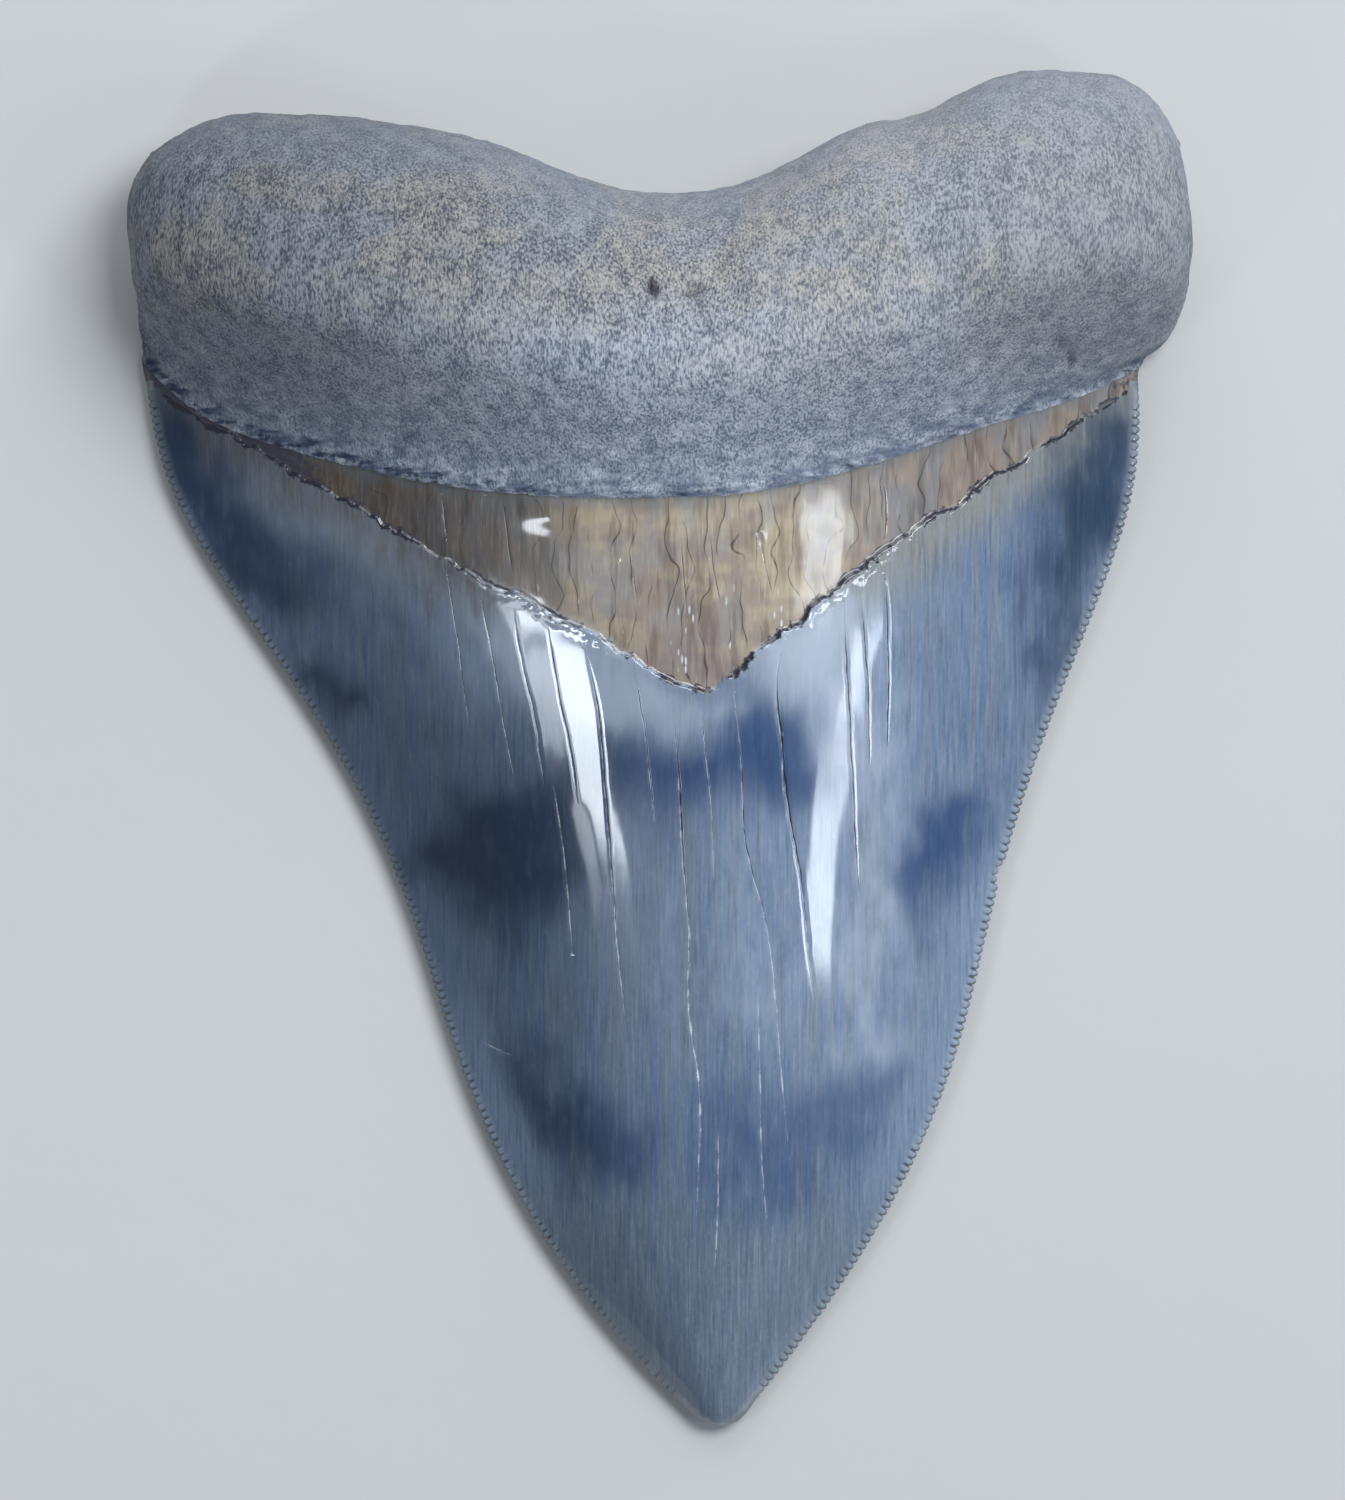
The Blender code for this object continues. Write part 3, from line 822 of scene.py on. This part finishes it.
bm = bmesh.new()
bm.from_mesh(tooth_mesh)
loose = [vert for vert in bm.verts if not vert.link_faces]
bmesh.ops.delete(bm, geom=loose, context="VERTS")
borders = [vert for vert in bm.verts if vert.is_boundary]
bmesh.ops.remove_doubles(bm, verts=borders, dist=weld_distance)
bmesh.ops.recalc_face_normals(bm, faces=bm.faces)
open_edges = sum(1 for edge in bm.edges if not edge.is_manifold)
if open_edges:
    raise ValueError(f"the tooth's skin has {open_edges} open edges")
bm.to_mesh(tooth_mesh)
bm.free()
print("tooth:", len(tooth_mesh.vertices), "points,", len(tooth_mesh.polygons), "triangles")


def read_notes(name):
    """Read one note of the mesh's points."""
    values = np.empty(len(tooth_mesh.vertices), np.float32)
    tooth_mesh.attributes[name].data.foreach_get("value", values)
    return values.astype(float)


places = np.empty(len(tooth_mesh.vertices) * 3, np.float32)
normals = np.empty(len(tooth_mesh.vertices) * 3, np.float32)
tooth_mesh.vertices.foreach_get("co", places)
tooth_mesh.vertex_normals.foreach_get("vector", normals)
places = places.reshape(-1, 3).astype(float) / MM
normals = normals.reshape(-1, 3).astype(float)
bone, bare, inner, ledge = (read_notes(name) for name in ("bone", "bare", "inner", "ledge"))
enamel = (1 - bone) * (1 - bare)

# The faces laid flat side by side, for a baked texture: the inner face large, with the root's sides
# spread out, and the outer face beside it. Each is its place on the sheet and its share of it.
inner_sheet = ((0.01, 0.01), (0.69, 0.98))
outer_sheet = ((0.72, 0.01), (0.27, 0.98))
flat = places[:, :2] + np.column_stack((read_notes("spread_x"), read_notes("spread_y")))
corner_points = np.empty(len(tooth_mesh.loops), np.int32)
tooth_mesh.loops.foreach_get("vertex_index", corner_points)
on_inner_face = np.empty(len(tooth_mesh.polygons), np.int32)
tooth_mesh.attributes["inner_face"].data.foreach_get("value", on_inner_face)
layouts = []
for laid_out, (corner, share) in ((places[:, :2], outer_sheet), (flat, inner_sheet)):
    low, high = laid_out.min(axis=0), laid_out.max(axis=0)
    layouts.append(corner + (laid_out - low) / (high - low) * share)
chosen = np.where(np.repeat(on_inner_face, 3)[:, None], layouts[1][corner_points], layouts[0][corner_points])
bake_map = tooth_mesh.uv_layers.new(name="OFBake")
bake_map.data.foreach_set("uv", chosen.astype(np.float32).ravel())


def relief(size_x, size_y, size_z, seed):
    """Return smooth noise at the mesh's points, with lumps of the given size."""
    scaled = places / (size_x, size_y, size_z) + (seed, seed * 0.7, 0.37)
    return np.array([noise.noise(Vector(place)) for place in scaled])


lumps = 0.16 * relief(5, 6, 5, 11.0) + 0.09 * relief(1.7, 2.4, 1.7, 12.0)
fibres = 0.07 * relief(0.8, 2.6, 0.8, 13.0)
pores = -0.16 * np.clip(relief(0.9, 1.5, 0.9, 14.0) - 0.25, 0, 1)
drapes = 0.16 * relief(1.6, 0.7, 0.9, 15.0) * np.clip(ledge * 2, 0, 1)
bone_relief = (lumps + fibres + pores + drapes - 0.18) * bone
ripples = 0.014 * relief(0.8, 5.0, 5.0, 16.0) + 0.01 * relief(2.6, 2.4, 2.0, 17.0)
waves = 0.007 * relief(1.6, 14.0, 14.0, 18.0) + 0.004 * relief(0.9, 7.0, 7.0, 19.0)
off_edge = np.clip((1 - np.abs(towards_edge(places))) * 8, 0, 1)
on_seam = np.clip(ledge * 1.5, 0, 1)
# Small swells of the dentine that catch the light: x, y, half width, half length, height.
bare_swells = (
    (-8.6, 20.0, 3.4, 1.3, 0.19),
    (-2.9, 16.8, 0.7, 1.5, 0.24),
    (7.9, 18.2, 0.8, 1.7, 0.23),
    (2.0, 11.8, 0.6, 1.2, 0.05),
)
for x, y, half_width, half_length, height in bare_swells:
    reach = ((places[:, 0] - x) / half_width) ** 2 + ((places[:, 1] - y) / half_length) ** 2
    ripples += height * np.exp(-reach) * inner
ripples = ripples * bare * (1 - bone) * (1 - on_seam)
rise = bone_relief + (ripples + waves * enamel) * off_edge
# The face that the tooth lies on only has hollows.
underneath = (inner == 0) & (places[:, 2] < 6.5)
rise = np.where(underneath, np.minimum(rise, 0) * 0.7, rise)
places = places + normals * rise[:, None]
places[:, 2] = np.maximum(places[:, 2], 0.0)
tooth_mesh.vertices.foreach_set("co", (places * MM).astype(np.float32).ravel())
tooth_mesh.update()
tooth_mesh.shade_smooth()

tooth = bpy.data.objects.new("tooth", tooth_mesh)
bpy.context.scene.collection.objects.link(tooth)
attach(tooth, "root")
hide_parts("megalodon_tooth")

# ---------------------------------------------------------------------------------------------
# Stains: dark blue clouds that mineral water left in the enamel, each a soft stroke between two
# points: x, y, x, y, half width, strength. On the outer face they are scattered.
cloud_strokes = (
    (-42.0, 27.0, -37.6, 20.6, 2.5, 0.95),
    (-37.0, 18.6, -32.6, 12.6, 2.4, 0.82),
    (-31.0, 14.5, -22.0, 9.0, 3.2, 0.34),
    (-29.6, 6.2, -26.6, 4.0, 1.2, 0.8),
    (-19.0, -9.0, -13.0, -10.5, 2.7, 1.0),
    (-15.0, -7.6, -7.5, -4.6, 2.6, 0.96),
    (-12.0, -10.5, -7.0, -9.0, 2.9, 0.74),
    (-16.0, -13.0, -12.6, -13.6, 1.5, 0.4),
    (-4.8, -3.2, -3.4, 0.4, 1.8, 0.84),
    (-2.6, -1.2, 2.6, -2.6, 2.5, 0.64),
    (3.0, -2.4, 7.4, -1.0, 2.5, 0.64),
    (8.2, 2.6, 9.8, -2.2, 1.9, 0.92),
    (10.8, 2.0, 12.8, -3.2, 1.6, 0.82),
    (-4.2, -5.4, -0.8, -5.8, 1.8, 0.4),
    (-3.0, -4.6, 9.0, -4.6, 1.8, 0.32),
    (27.4, -5.6, 23.0, -10.2, 1.8, 0.76),
    (23.6, -8.4, 22.4, -12.4, 1.8, 0.5),
    (21.6, -13.0, 22.2, -17.6, 1.4, 0.4),
    (24.6, -9.8, 26.4, -11.6, 1.6, 0.35),
    (-12.6, -29.0, -6.4, -32.4, 3.2, 0.8),
    (-11.0, -33.4, -5.0, -35.2, 3.0, 0.44),
    (-3.4, -32.0, 2.0, -35.0, 2.4, 0.2),
    (20.0, -28.8, 13.0, -31.6, 2.6, 0.46),
    (18.0, -33.4, 9.0, -36.0, 3.4, 0.4),
    (6.0, -32.0, 8.0, -38.0, 2.4, 0.44),
    (39.8, 28.0, 37.0, 20.0, 3.2, 0.84),
    (36.4, 20.0, 33.4, 8.0, 3.0, 0.62),
    (33.8, 6.0, 30.8, -2.0, 1.8, 0.24),
)
# Painted sheen: pale patches where the polished enamel mirrors broad soft light, as strokes of the same
# kind.
sheen_strokes = (
    (-12.0, 9.4, -4.0, 4.8, 2.5, 1.0),
    (-5.0, 5.6, -1.0, 4.0, 1.7, 0.95),
    (0.8, 3.4, 6.8, 3.4, 1.2, 0.4),
    (10.6, 8.0, 15.6, 10.4, 2.4, 0.95),
    (13.6, 6.0, 16.0, -0.6, 1.7, 0.75),
    (19.2, 4.0, 18.6, -10.0, 2.2, 0.42),
    (17.0, -14.0, 18.0, -25.0, 3.2, 0.5),
    (-1.6, -7.0, 1.6, -22.0, 2.8, 0.32),
    (7.2, -7.0, 8.8, -22.0, 2.4, 0.32),
    (-25.0, 17.0, -16.0, 5.0, 3.0, 0.3),
    (-34.0, 23.0, -27.0, 19.0, 2.4, 0.35),
)
# Lower down, between these heights, the clouds come to stop short of the cutting edges by this much.
clear_margin = (1.2, 4.2)
clear_margin_heights = (-9.0, -16.0)
# The edges and borders slant, so a distance across or along them is this much less square to them.
square_to_edge = 0.85
square_to_lip = 0.84
far_away = 20.0
# The strokes' edges wander, by a share of each one's half width, and feather along the fibres.
drift_x = 1.0 * relief(6.0, 6.0, 6.0, 24.0) + 0.5 * relief(1.6, 2.4, 2.4, 27.0)
drift_y = 1.0 * relief(5.0, 5.0, 5.0, 25.0) + 0.3 * relief(0.8, 9.0, 9.0, 26.0)
drift = np.column_stack((drift_x, drift_y))


def stroked(strokes):
    """Return how strongly soft strokes cover the mesh's points, from 0 to 1."""
    clear = np.ones(len(places))
    for x0, y0, x1, y1, half_width, strength in strokes:
        start, run = np.array((x0, y0)), np.array((x1 - x0, y1 - y0))
        from_start = places[:, :2] + drift * half_width - start
        along = np.clip(from_start @ run / (run @ run), 0, 1)
        away = np.linalg.norm(from_start - along[:, None] * run, axis=1)
        clear *= 1 - strength * np.exp(-0.65 * (away / half_width) ** 1.5)
    return 1 - clear


x, y, _ = places.T
edge_distance = inside_edges(x, y) * square_to_edge
write_notes("edge_distance", edge_distance)
lower_down = smoothstep(*clear_margin_heights, y)
clouds = stroked(cloud_strokes) * (1 - lower_down * (1 - smoothstep(*clear_margin, edge_distance)))
scattered = 0.8 * smoothstep(0.0, 0.5, relief(11.0, 9.0, 9.0, 21.0))
write_notes("cloud", np.where(inner > 0.5, clouds, scattered))
# Painted sheen of pale strokes, on the inner face.
write_notes("painted_sheen", stroked(sheen_strokes) * inner)
below_lip = (height_at(enamel_border, x) - y) * square_to_lip
below_root = height_at(root_border, x) - y
for name, distance in (("lip_distance", below_lip), ("below_root", below_root)):
    write_notes(name, np.where(inner > 0.5, np.maximum(distance, 0), far_away))
# Painted shade deepens towards the left side, as if lit from the right. It is weaker high on the
# crown, and low down towards the tip: the heights where each change starts and is complete, and
# what is left of the painted shade.
left_shade_high = (0.0, 11.0)
left_shade_low = (14.0, 32.0)
left_shade = smoothstep(-0.4, 0.8, -towards_edge(places))
left_shade *= 1 - 0.35 * smoothstep(*left_shade_high, y) * (1 - bone)
left_shade *= 1 - 0.45 * smoothstep(*left_shade_low, -y)
write_notes("left_shade", left_shade)


def maths(tree, operation, first, second=0.0):
    """Add a Math node and return its result."""
    node = tree.nodes.new("ShaderNodeMath")
    node.operation = operation
    put(tree, node.inputs[0], first)
    put(tree, node.inputs[1], second)
    return node.outputs[0]


def ramp(tree, value, low, high, start=0.0, end=1.0):
    """Return start where the value is low and end where it is high, smooth between them."""
    node = tree.nodes.new("ShaderNodeMapRange")
    node.interpolation_type = "SMOOTHSTEP"
    for socket, number in zip(node.inputs, (value, low, high, start, end)):
        put(tree, socket, number)
    return node.outputs["Result"]


def mix(tree, share, first, second, kind="MIX"):
    """Mix two colours: the first where the share is 0 and the second where it is 1."""
    node = tree.nodes.new("ShaderNodeMix")
    node.data_type = "RGBA"
    node.blend_type = kind
    colour_inputs = [socket for socket in node.inputs if socket.type == "RGBA"]
    put(tree, node.inputs["Factor"], share)
    put(tree, colour_inputs[0], first)
    put(tree, colour_inputs[1], second)
    return next(socket for socket in node.outputs if socket.type == "RGBA")


def note(tree, name):
    """Return a note that the mesh's points carry."""
    return add_node(tree, "ShaderNodeAttribute", attribute_name=name).outputs["Fac"]


def plus(tree, first, second, share):
    """Return the first value plus a share of the second."""
    return maths(tree, "ADD", first, maths(tree, "MULTIPLY", second, share))


def as_colour(value):
    """Return a colour given as 0 to 255 in the renderer's values, and a node's output as it is."""
    return linear(*value) if isinstance(value, tuple) else value


def layered(tree, base, *layers):
    """Lay colours over a base, one after another, and return the result.

    A layer is a value, the two levels of the value between which the layer changes, its share at
    each of them, its colour, and how it blends where it doesn't simply cover.
    """
    colour = as_colour(base)
    for value, low, high, start, end, tint, *kind in layers:
        share = ramp(tree, value, low, high, start, end)
        colour = mix(tree, share, colour, as_colour(tint), *kind)
    return colour


def axes_of(tree):
    """Return the tooth's own X, Y and Z, in metres."""
    spot = add_node(tree, "ShaderNodeTexCoord").outputs["Object"]
    return add_node(tree, "ShaderNodeSeparateXYZ", {"Vector": spot}).outputs


def new_group(name, takes, gives, gives_kind="NodeSocketFloat"):
    """Start a node group with named inputs, each with its usual value, and a named output."""
    group = bpy.data.node_groups.new(name, "ShaderNodeTree")
    for label, usual in takes.items():
        kind = "NodeSocketColor" if isinstance(usual, tuple) else "NodeSocketFloat"
        socket = group.interface.new_socket(label, in_out="INPUT", socket_type=kind)
        socket.default_value = usual
    group.interface.new_socket(gives, in_out="OUTPUT", socket_type=gives_kind)
    outlet = group.nodes.new("NodeGroupOutput").inputs[gives]
    return group, group.nodes.new("NodeGroupInput").outputs, outlet


def use(tree, group, **values):
    """Place a group in a material or another group, and return its outputs."""
    node = tree.nodes.new("ShaderNodeGroup")
    node.node_tree = group
    for label, value in values.items():
        put(tree, node.inputs[label.replace("_", " ")], value)
    return node.outputs


def stretched(group, takes, per_metre, upright=1.0):
    """Return places on the tooth, stretched by a group's Width and Length and moved by its Seed.

    A metre holds this many of the group's lumps where its Width and Length are 1.
    """
    per_width = maths(group, "DIVIDE", per_metre, takes["Width"])
    scale = {
        "X": per_width,
        "Y": maths(group, "DIVIDE", per_metre, takes["Length"]),
        "Z": maths(group, "MULTIPLY", per_width, upright),
    }
    place = add_node(group, "ShaderNodeTexCoord").outputs["Object"]
    steps = {"MULTIPLY": scale, "ADD": {"X": takes["Seed"], "Z": takes["Seed"]}}
    for operation, parts in steps.items():
        step = add_node(group, "ShaderNodeVectorMath", operation=operation)
        put(group, step.inputs[0], place)
        put(group, step.inputs[1], add_node(group, "ShaderNodeCombineXYZ", parts).outputs[0])
        place = step.outputs[0]
    return place


# Shared effect: cloudy grain, drawn out along the tooth. Width and length are in millimetres.
# Upright is how much the grain changes with height, so that long fibres stay whole on a slope.
grain, takes, outlet = new_group(
    "grain", {"Width": 1.0, "Length": 1.0, "Upright": 1.0, "Seed": 0.0, "Detail": 2.5}, "Grain"
)
cloudy = add_node(grain, "ShaderNodeTexNoise", {
    "Vector": stretched(grain, takes, 1 / MM, takes["Upright"]), "Scale": 1.0,
    "Detail": takes["Detail"], "Roughness": 0.6,
})
put(grain, outlet, cloudy.outputs["Fac"])


def grained(tree, width, length, seed, upright=1.0, detail=2.5):
    """Place the shared grain in a material or a group, and return it."""
    made = use(tree, grain, Width=width, Length=length, Seed=seed, Upright=upright, Detail=detail)
    return made["Grain"]


# Shared effect: separate specks or dashes, of which only a share are there. Each stands in a cell of
# its own, and its width and length are this share of the cell's.
speck_in_cell = 0.35
specks, takes, outlet = new_group(
    "specks", {"Width": 0.3, "Length": 0.3, "Share": 0.1, "Seed": 0.0}, "Specks"
)
cells = add_node(specks, "ShaderNodeTexVoronoi", {
    "Vector": stretched(specks, takes, speck_in_cell / MM), "Scale": 1.0,
})
dot = ramp(specks, cells.outputs["Distance"], 0.2, 0.42, 1.0, 0.0)
lot = add_node(specks, "ShaderNodeSeparateColor", {"Color": cells.outputs["Color"]}).outputs[0]
chosen = maths(specks, "LESS_THAN", lot, takes["Share"])
put(specks, outlet, maths(specks, "MULTIPLY", dot, chosen))

# Shared effect: dark mineral crust that covers a colour in patches of the width and length given.
crusted, takes, outlet = new_group(
    "crusted",
    {
        "Colour": (0.5, 0.5, 0.5, 1.0), "Crust": (0.02, 0.02, 0.03, 1.0),
        "Cover": 0.0, "Width": 1.0, "Length": 1.0,
    },
    "Colour", "NodeSocketColor",
)
cover = plus(crusted, takes["Cover"], grained(crusted, takes["Width"], takes["Length"], 5.0), 1.2)
put(crusted, outlet, layered(crusted, takes["Colour"], (cover, 1.0, 1.3, 0.0, 1.0, takes["Crust"])))

# Shared effect: painted shade on the tooth's left side.
left_shaded, takes, outlet = new_group(
    "left_shaded", {"Colour": (0.5, 0.5, 0.5, 1.0), "Strength": 0.4}, "Colour", "NodeSocketColor"
)
depth = maths(left_shaded, "MULTIPLY", note(left_shaded, "left_shade"), takes["Strength"])
put(left_shaded, outlet, mix(left_shaded, depth, takes["Colour"], linear(88, 108, 122), "MULTIPLY"))


def finish(material, shader, colour, height, depth):
    """Give a material its colour and its fine grain, that deep in metres, and put it on the tooth."""
    tree = material.node_tree
    bump = add_node(tree, "ShaderNodeBump", {"Height": height, "Distance": depth})
    put(tree, shader.inputs["Base Color"], colour)
    put(tree, shader.inputs["Normal"], bump.outputs["Normal"])
    tooth_mesh.materials.append(material)


# Root bone: matt, warm and bluish greys, in fine pale grains that run with the fibres, with slate
# pores between them. It is smeared navy along its lower border, and smoother and bluer at its top.
bone_finish, tree, shader = new_material("root_bone", Roughness=0.75, Specular_IOR_Level=0.35)
axes = axes_of(tree)
patches = grained(tree, 9.0, 7.0, 1.0)
blotches = grained(tree, 1.6, 2.6, 2.0)
fibre = grained(tree, 0.2, 0.55, 3.0)
fine = grained(tree, 0.1, 0.2, 4.0)
grains = plus(tree, plus(tree, fibre, blotches, 0.4), fine, 0.3)
smear = plus(tree, grained(tree, 2.4, 1.0, 6.0), fibre, 0.4)
near_border = note(tree, "ledge")
smear_share = maths(tree, "MULTIPLY", maths(tree, "POWER", near_border, 0.4), 0.85)
slate = layered(
    tree, (80, 88, 102),
    (axes["X"], 0.0, 0.014, 0.0, 1.0, (100, 107, 118)),
    (axes["Y"], 0.026, 0.042, 1.0, 0.0, (110, 122, 142)),
)
pale = layered(
    tree, (188, 184, 178),
    (patches, 0.4, 0.6, 0.0, 1.0, (173, 178, 187)),
    (axes["X"], 0.022, 0.036, 0.0, 0.7, (160, 163, 170)),
    (axes["Y"], 0.026, 0.042, 1.0, 0.0, (209, 215, 227)),
)
colour = layered(
    tree, slate,
    (grains, 0.64, 1.04, 0.0, 1.0, pale),
    (note(tree, "spread_y"), 2.2, 8.5, 0.0, 0.4, (150, 156, 172)),
)
# Painted shade in the pits.
colour = mix(tree, note(tree, "pit"), colour, linear(34, 34, 42))
colour = layered(tree, colour, (smear, 0.56, 0.9, 0.0, smear_share, (74, 92, 122)))
# Painted shade on the left side. The crust along the border is heavier there too.
colour = use(tree, left_shaded, Colour=colour, Strength=0.4)["Colour"]
by_side = ramp(tree, note(tree, "left_shade"), 0.3, 0.85, 0.36, 0.62)
cover = maths(tree, "MULTIPLY", near_border, by_side)
covered = use(
    tree, crusted, Colour=colour, Crust=linear(54, 64, 90), Cover=cover, Width=2.6, Length=0.6
)
finish(bone_finish, shader, covered["Colour"], grains, 0.00012)

# Bourlette: bare dentine, ochre with reddish patches, glazed by polish, with dark wavy bands and
# lines down it.
bare_finish, tree, shader = new_material("bare_dentine", Coat_Roughness=0.08)
axes = axes_of(tree)
patches = grained(tree, 4.0, 3.0, 7.0)
band = grained(tree, 1.1, 8.0, 15.0, 0.1)
hair = grained(tree, 0.2, 2.4, 9.0, 0.1)
veil = grained(tree, 3.0, 6.0, 16.0)
# White dashes are painted glints.
painted_glint_dashes = use(tree, specks, Width=0.11, Length=0.5, Share=0.07)["Specks"]
below_root = note(tree, "below_root")
rust = layered(tree, (146, 132, 124), (veil, 0.42, 0.6, 0.0, 1.0, (130, 130, 136)))
brown = layered(tree, (96, 80, 68), (veil, 0.42, 0.58, 0.0, 1.0, (80, 76, 76)))
# The dark lines stand this far apart, sway this much as they go down, and come and go.
line_spacing = 0.00155
line_sway = 0.0034
swayed = plus(tree, axes["X"], grained(tree, 3.2, 4.0, 8.0, 0.1, 0.8), line_sway)
from_line = maths(tree, "FRACT", maths(tree, "DIVIDE", swayed, line_spacing))
from_line = maths(tree, "ABSOLUTE", maths(tree, "SUBTRACT", from_line, 0.5))
shown = ramp(tree, band, 0.38, 0.56, 0.0, 0.85)
colour = layered(
    tree, (192, 178, 152),
    (patches, 0.38, 0.62, 0.0, 1.0, (164, 150, 138)),
    (veil, 0.42, 0.66, 0.0, 0.35, (156, 162, 174)),
    (axes["X"], 0.008, 0.022, 0.0, 0.8, rust),
    (axes["Y"], 0.006, 0.012, 0.6, 0.0, (138, 124, 124)),
    (plus(tree, axes["X"], patches, 0.006), -0.010, -0.002, 0.92, 0.0, brown),
    (band, 0.46, 0.64, 0.0, 0.5, (150, 142, 134), "MULTIPLY"),
    (from_line, 0.01, 0.06, shown, 0.0, (66, 58, 54)),
    (hair, 0.5, 0.7, 0.0, 0.3, (128, 124, 116), "ADD"),
    (plus(tree, below_root, band, 3.0), 1.2, 3.4, 0.7, 0.0, (104, 112, 118)),
    # Painted glints: white dashes low on the bourlette.
    (axes["Y"], 0.010, 0.016, painted_glint_dashes, 0.0, (222, 226, 232)),
)
colour = mix(tree, note(tree, "crack"), colour, linear(50, 44, 42))
# Painted shade on the left side.
colour = use(tree, left_shaded, Colour=colour, Strength=0.45)["Colour"]
# Painted glints on crack lips and the lip.
colour = mix(tree, maths(tree, "MULTIPLY", note(tree, "flake"), 0.5), colour, linear(200, 206, 214))
# The narrow ends of the band are crusted over.
at_left_end = ramp(tree, axes["X"], -0.033, -0.025, 0.75, 0.0)
at_right_end = ramp(tree, axes["X"], 0.034, 0.041, 0.0, 0.5)
cover = maths(tree, "MAXIMUM", note(tree, "crust"), maths(tree, "MULTIPLY", note(tree, "ledge"), 0.4))
cover = maths(tree, "MAXIMUM", cover, maths(tree, "ADD", at_left_end, at_right_end))
covered = use(
    tree, crusted, Colour=colour, Crust=linear(62, 60, 74), Cover=cover, Width=0.5, Length=0.5
)
put(tree, shader.inputs["Coat Weight"], ramp(tree, below_root, 0.4, 1.2, 0.05, 0.8))
put(tree, shader.inputs["Roughness"], ramp(tree, below_root, 0.4, 1.2, 0.7, 0.35))
finish(bare_finish, shader, covered["Colour"], hair, 0.00001)

# Enamel: hard, polished grey with fine blue and warm streaks down it, dark clouds, light blue
# margins and cream saw teeth. It has painted sheen under the point of the lip and is tan under its sides.
enamel_finish, tree, shader = new_material(
    "enamel", Roughness=0.32, Specular_IOR_Level=0.25, Coat_Weight=1.0, Coat_Roughness=0.07, IOR=1.5
)
axes = axes_of(tree)
streak = grained(tree, 0.8, 30.0, 10.0, 0.06)
thread = grained(tree, 0.22, 5.0, 11.0, 0.08)
wash = grained(tree, 8.0, 9.0, 12.0)
smoke = grained(tree, 1.1, 3.6, 13.0, 0.3)
mottle = grained(tree, 0.3, 0.7, 14.0)
flaked = grained(tree, 0.8, 1.3, 17.0)
feather = plus(tree, maths(tree, "MULTIPLY", streak, 0.3), smoke, 0.6)
clouded, sheened = (maths(tree, "ADD", note(tree, name), feather) for name in ("cloud", "painted_sheen"))
edge_distance = note(tree, "edge_distance")
margin_share = ramp(tree, axes["Y"], -0.012, 0.004, 0.85, 0.3)
from_lip = plus(tree, note(tree, "lip_distance"), smoke, 3.0)
lip_share = ramp(tree, maths(tree, "ABSOLUTE", axes["X"]), 0.006, 0.016, 0.0, 0.8)
lip_tan = layered(tree, (122, 114, 100), (axes["X"], -0.016, 0.004, 0.0, 1.0, (152, 151, 142)))
navy = layered(
    tree, (20, 53, 90),
    (axes["X"], -0.008, 0.0, 0.0, 1.0, (34, 68, 116)),
    (axes["X"], 0.028, 0.036, 0.0, 1.0, (24, 52, 82)),
)
colour = layered(
    tree, (118, 132, 150),
    (streak, 0.36, 0.64, 0.0, 1.0, (106, 129, 164)),
    (wash, 0.35, 0.65, 0.0, 0.5, (132, 150, 176)),
    (edge_distance, 1.0, 5.0, margin_share, 0.0, (130, 150, 178)),
    (axes["Y"], -0.044, -0.034, 0.6, 0.0, (106, 122, 134)),
    (from_lip, 2.0, 7.6, lip_share, 0.0, lip_tan),
    (thread, 0.3, 0.5, 0.38, 0.0, (66, 84, 110)),
    (thread, 0.5, 0.7, 0.0, 0.38, (156, 170, 190)),
    (mottle, 0.3, 0.48, 0.12, 0.0, (70, 86, 108)),
    (mottle, 0.52, 0.7, 0.0, 0.14, (166, 178, 196)),
    (clouded, 0.42, 1.44, 0.0, 0.92, navy),
    # Painted sheen: pale patches of mirrored soft light.
    (sheened, 0.42, 1.44, 0.0, 0.85, (184, 196, 214)),
    (edge_distance, 0.1, 0.9, 0.35, 0.0, (186, 196, 202)),
)
# Painted shade on the left side.
colour = use(tree, left_shaded, Colour=colour, Strength=0.7)["Colour"]
colour = layered(
    tree, colour,
    (note(tree, "gap"), 0.3, 0.8, 0.0, 0.75, (46, 56, 72)),
    (note(tree, "crack"), 0.2, 0.7, 0.0, 1.0, (22, 26, 34)),
)
covered = use(
    tree, crusted, Colour=colour, Crust=linear(42, 42, 54), Cover=note(tree, "crust"), Width=0.5,
    Length=0.5,
)
# Painted glints on crack lips and the lip's left part; pale mineral in long cracks near the tip.
flake = maths(tree, "MULTIPLY", note(tree, "flake"), ramp(tree, flaked, 0.42, 0.58, 0.15, 0.9))
colour = mix(tree, flake, covered["Colour"], linear(206, 216, 228))
finish(enamel_finish, shader, colour, maths(tree, "ADD", thread, mottle), 0.00001)
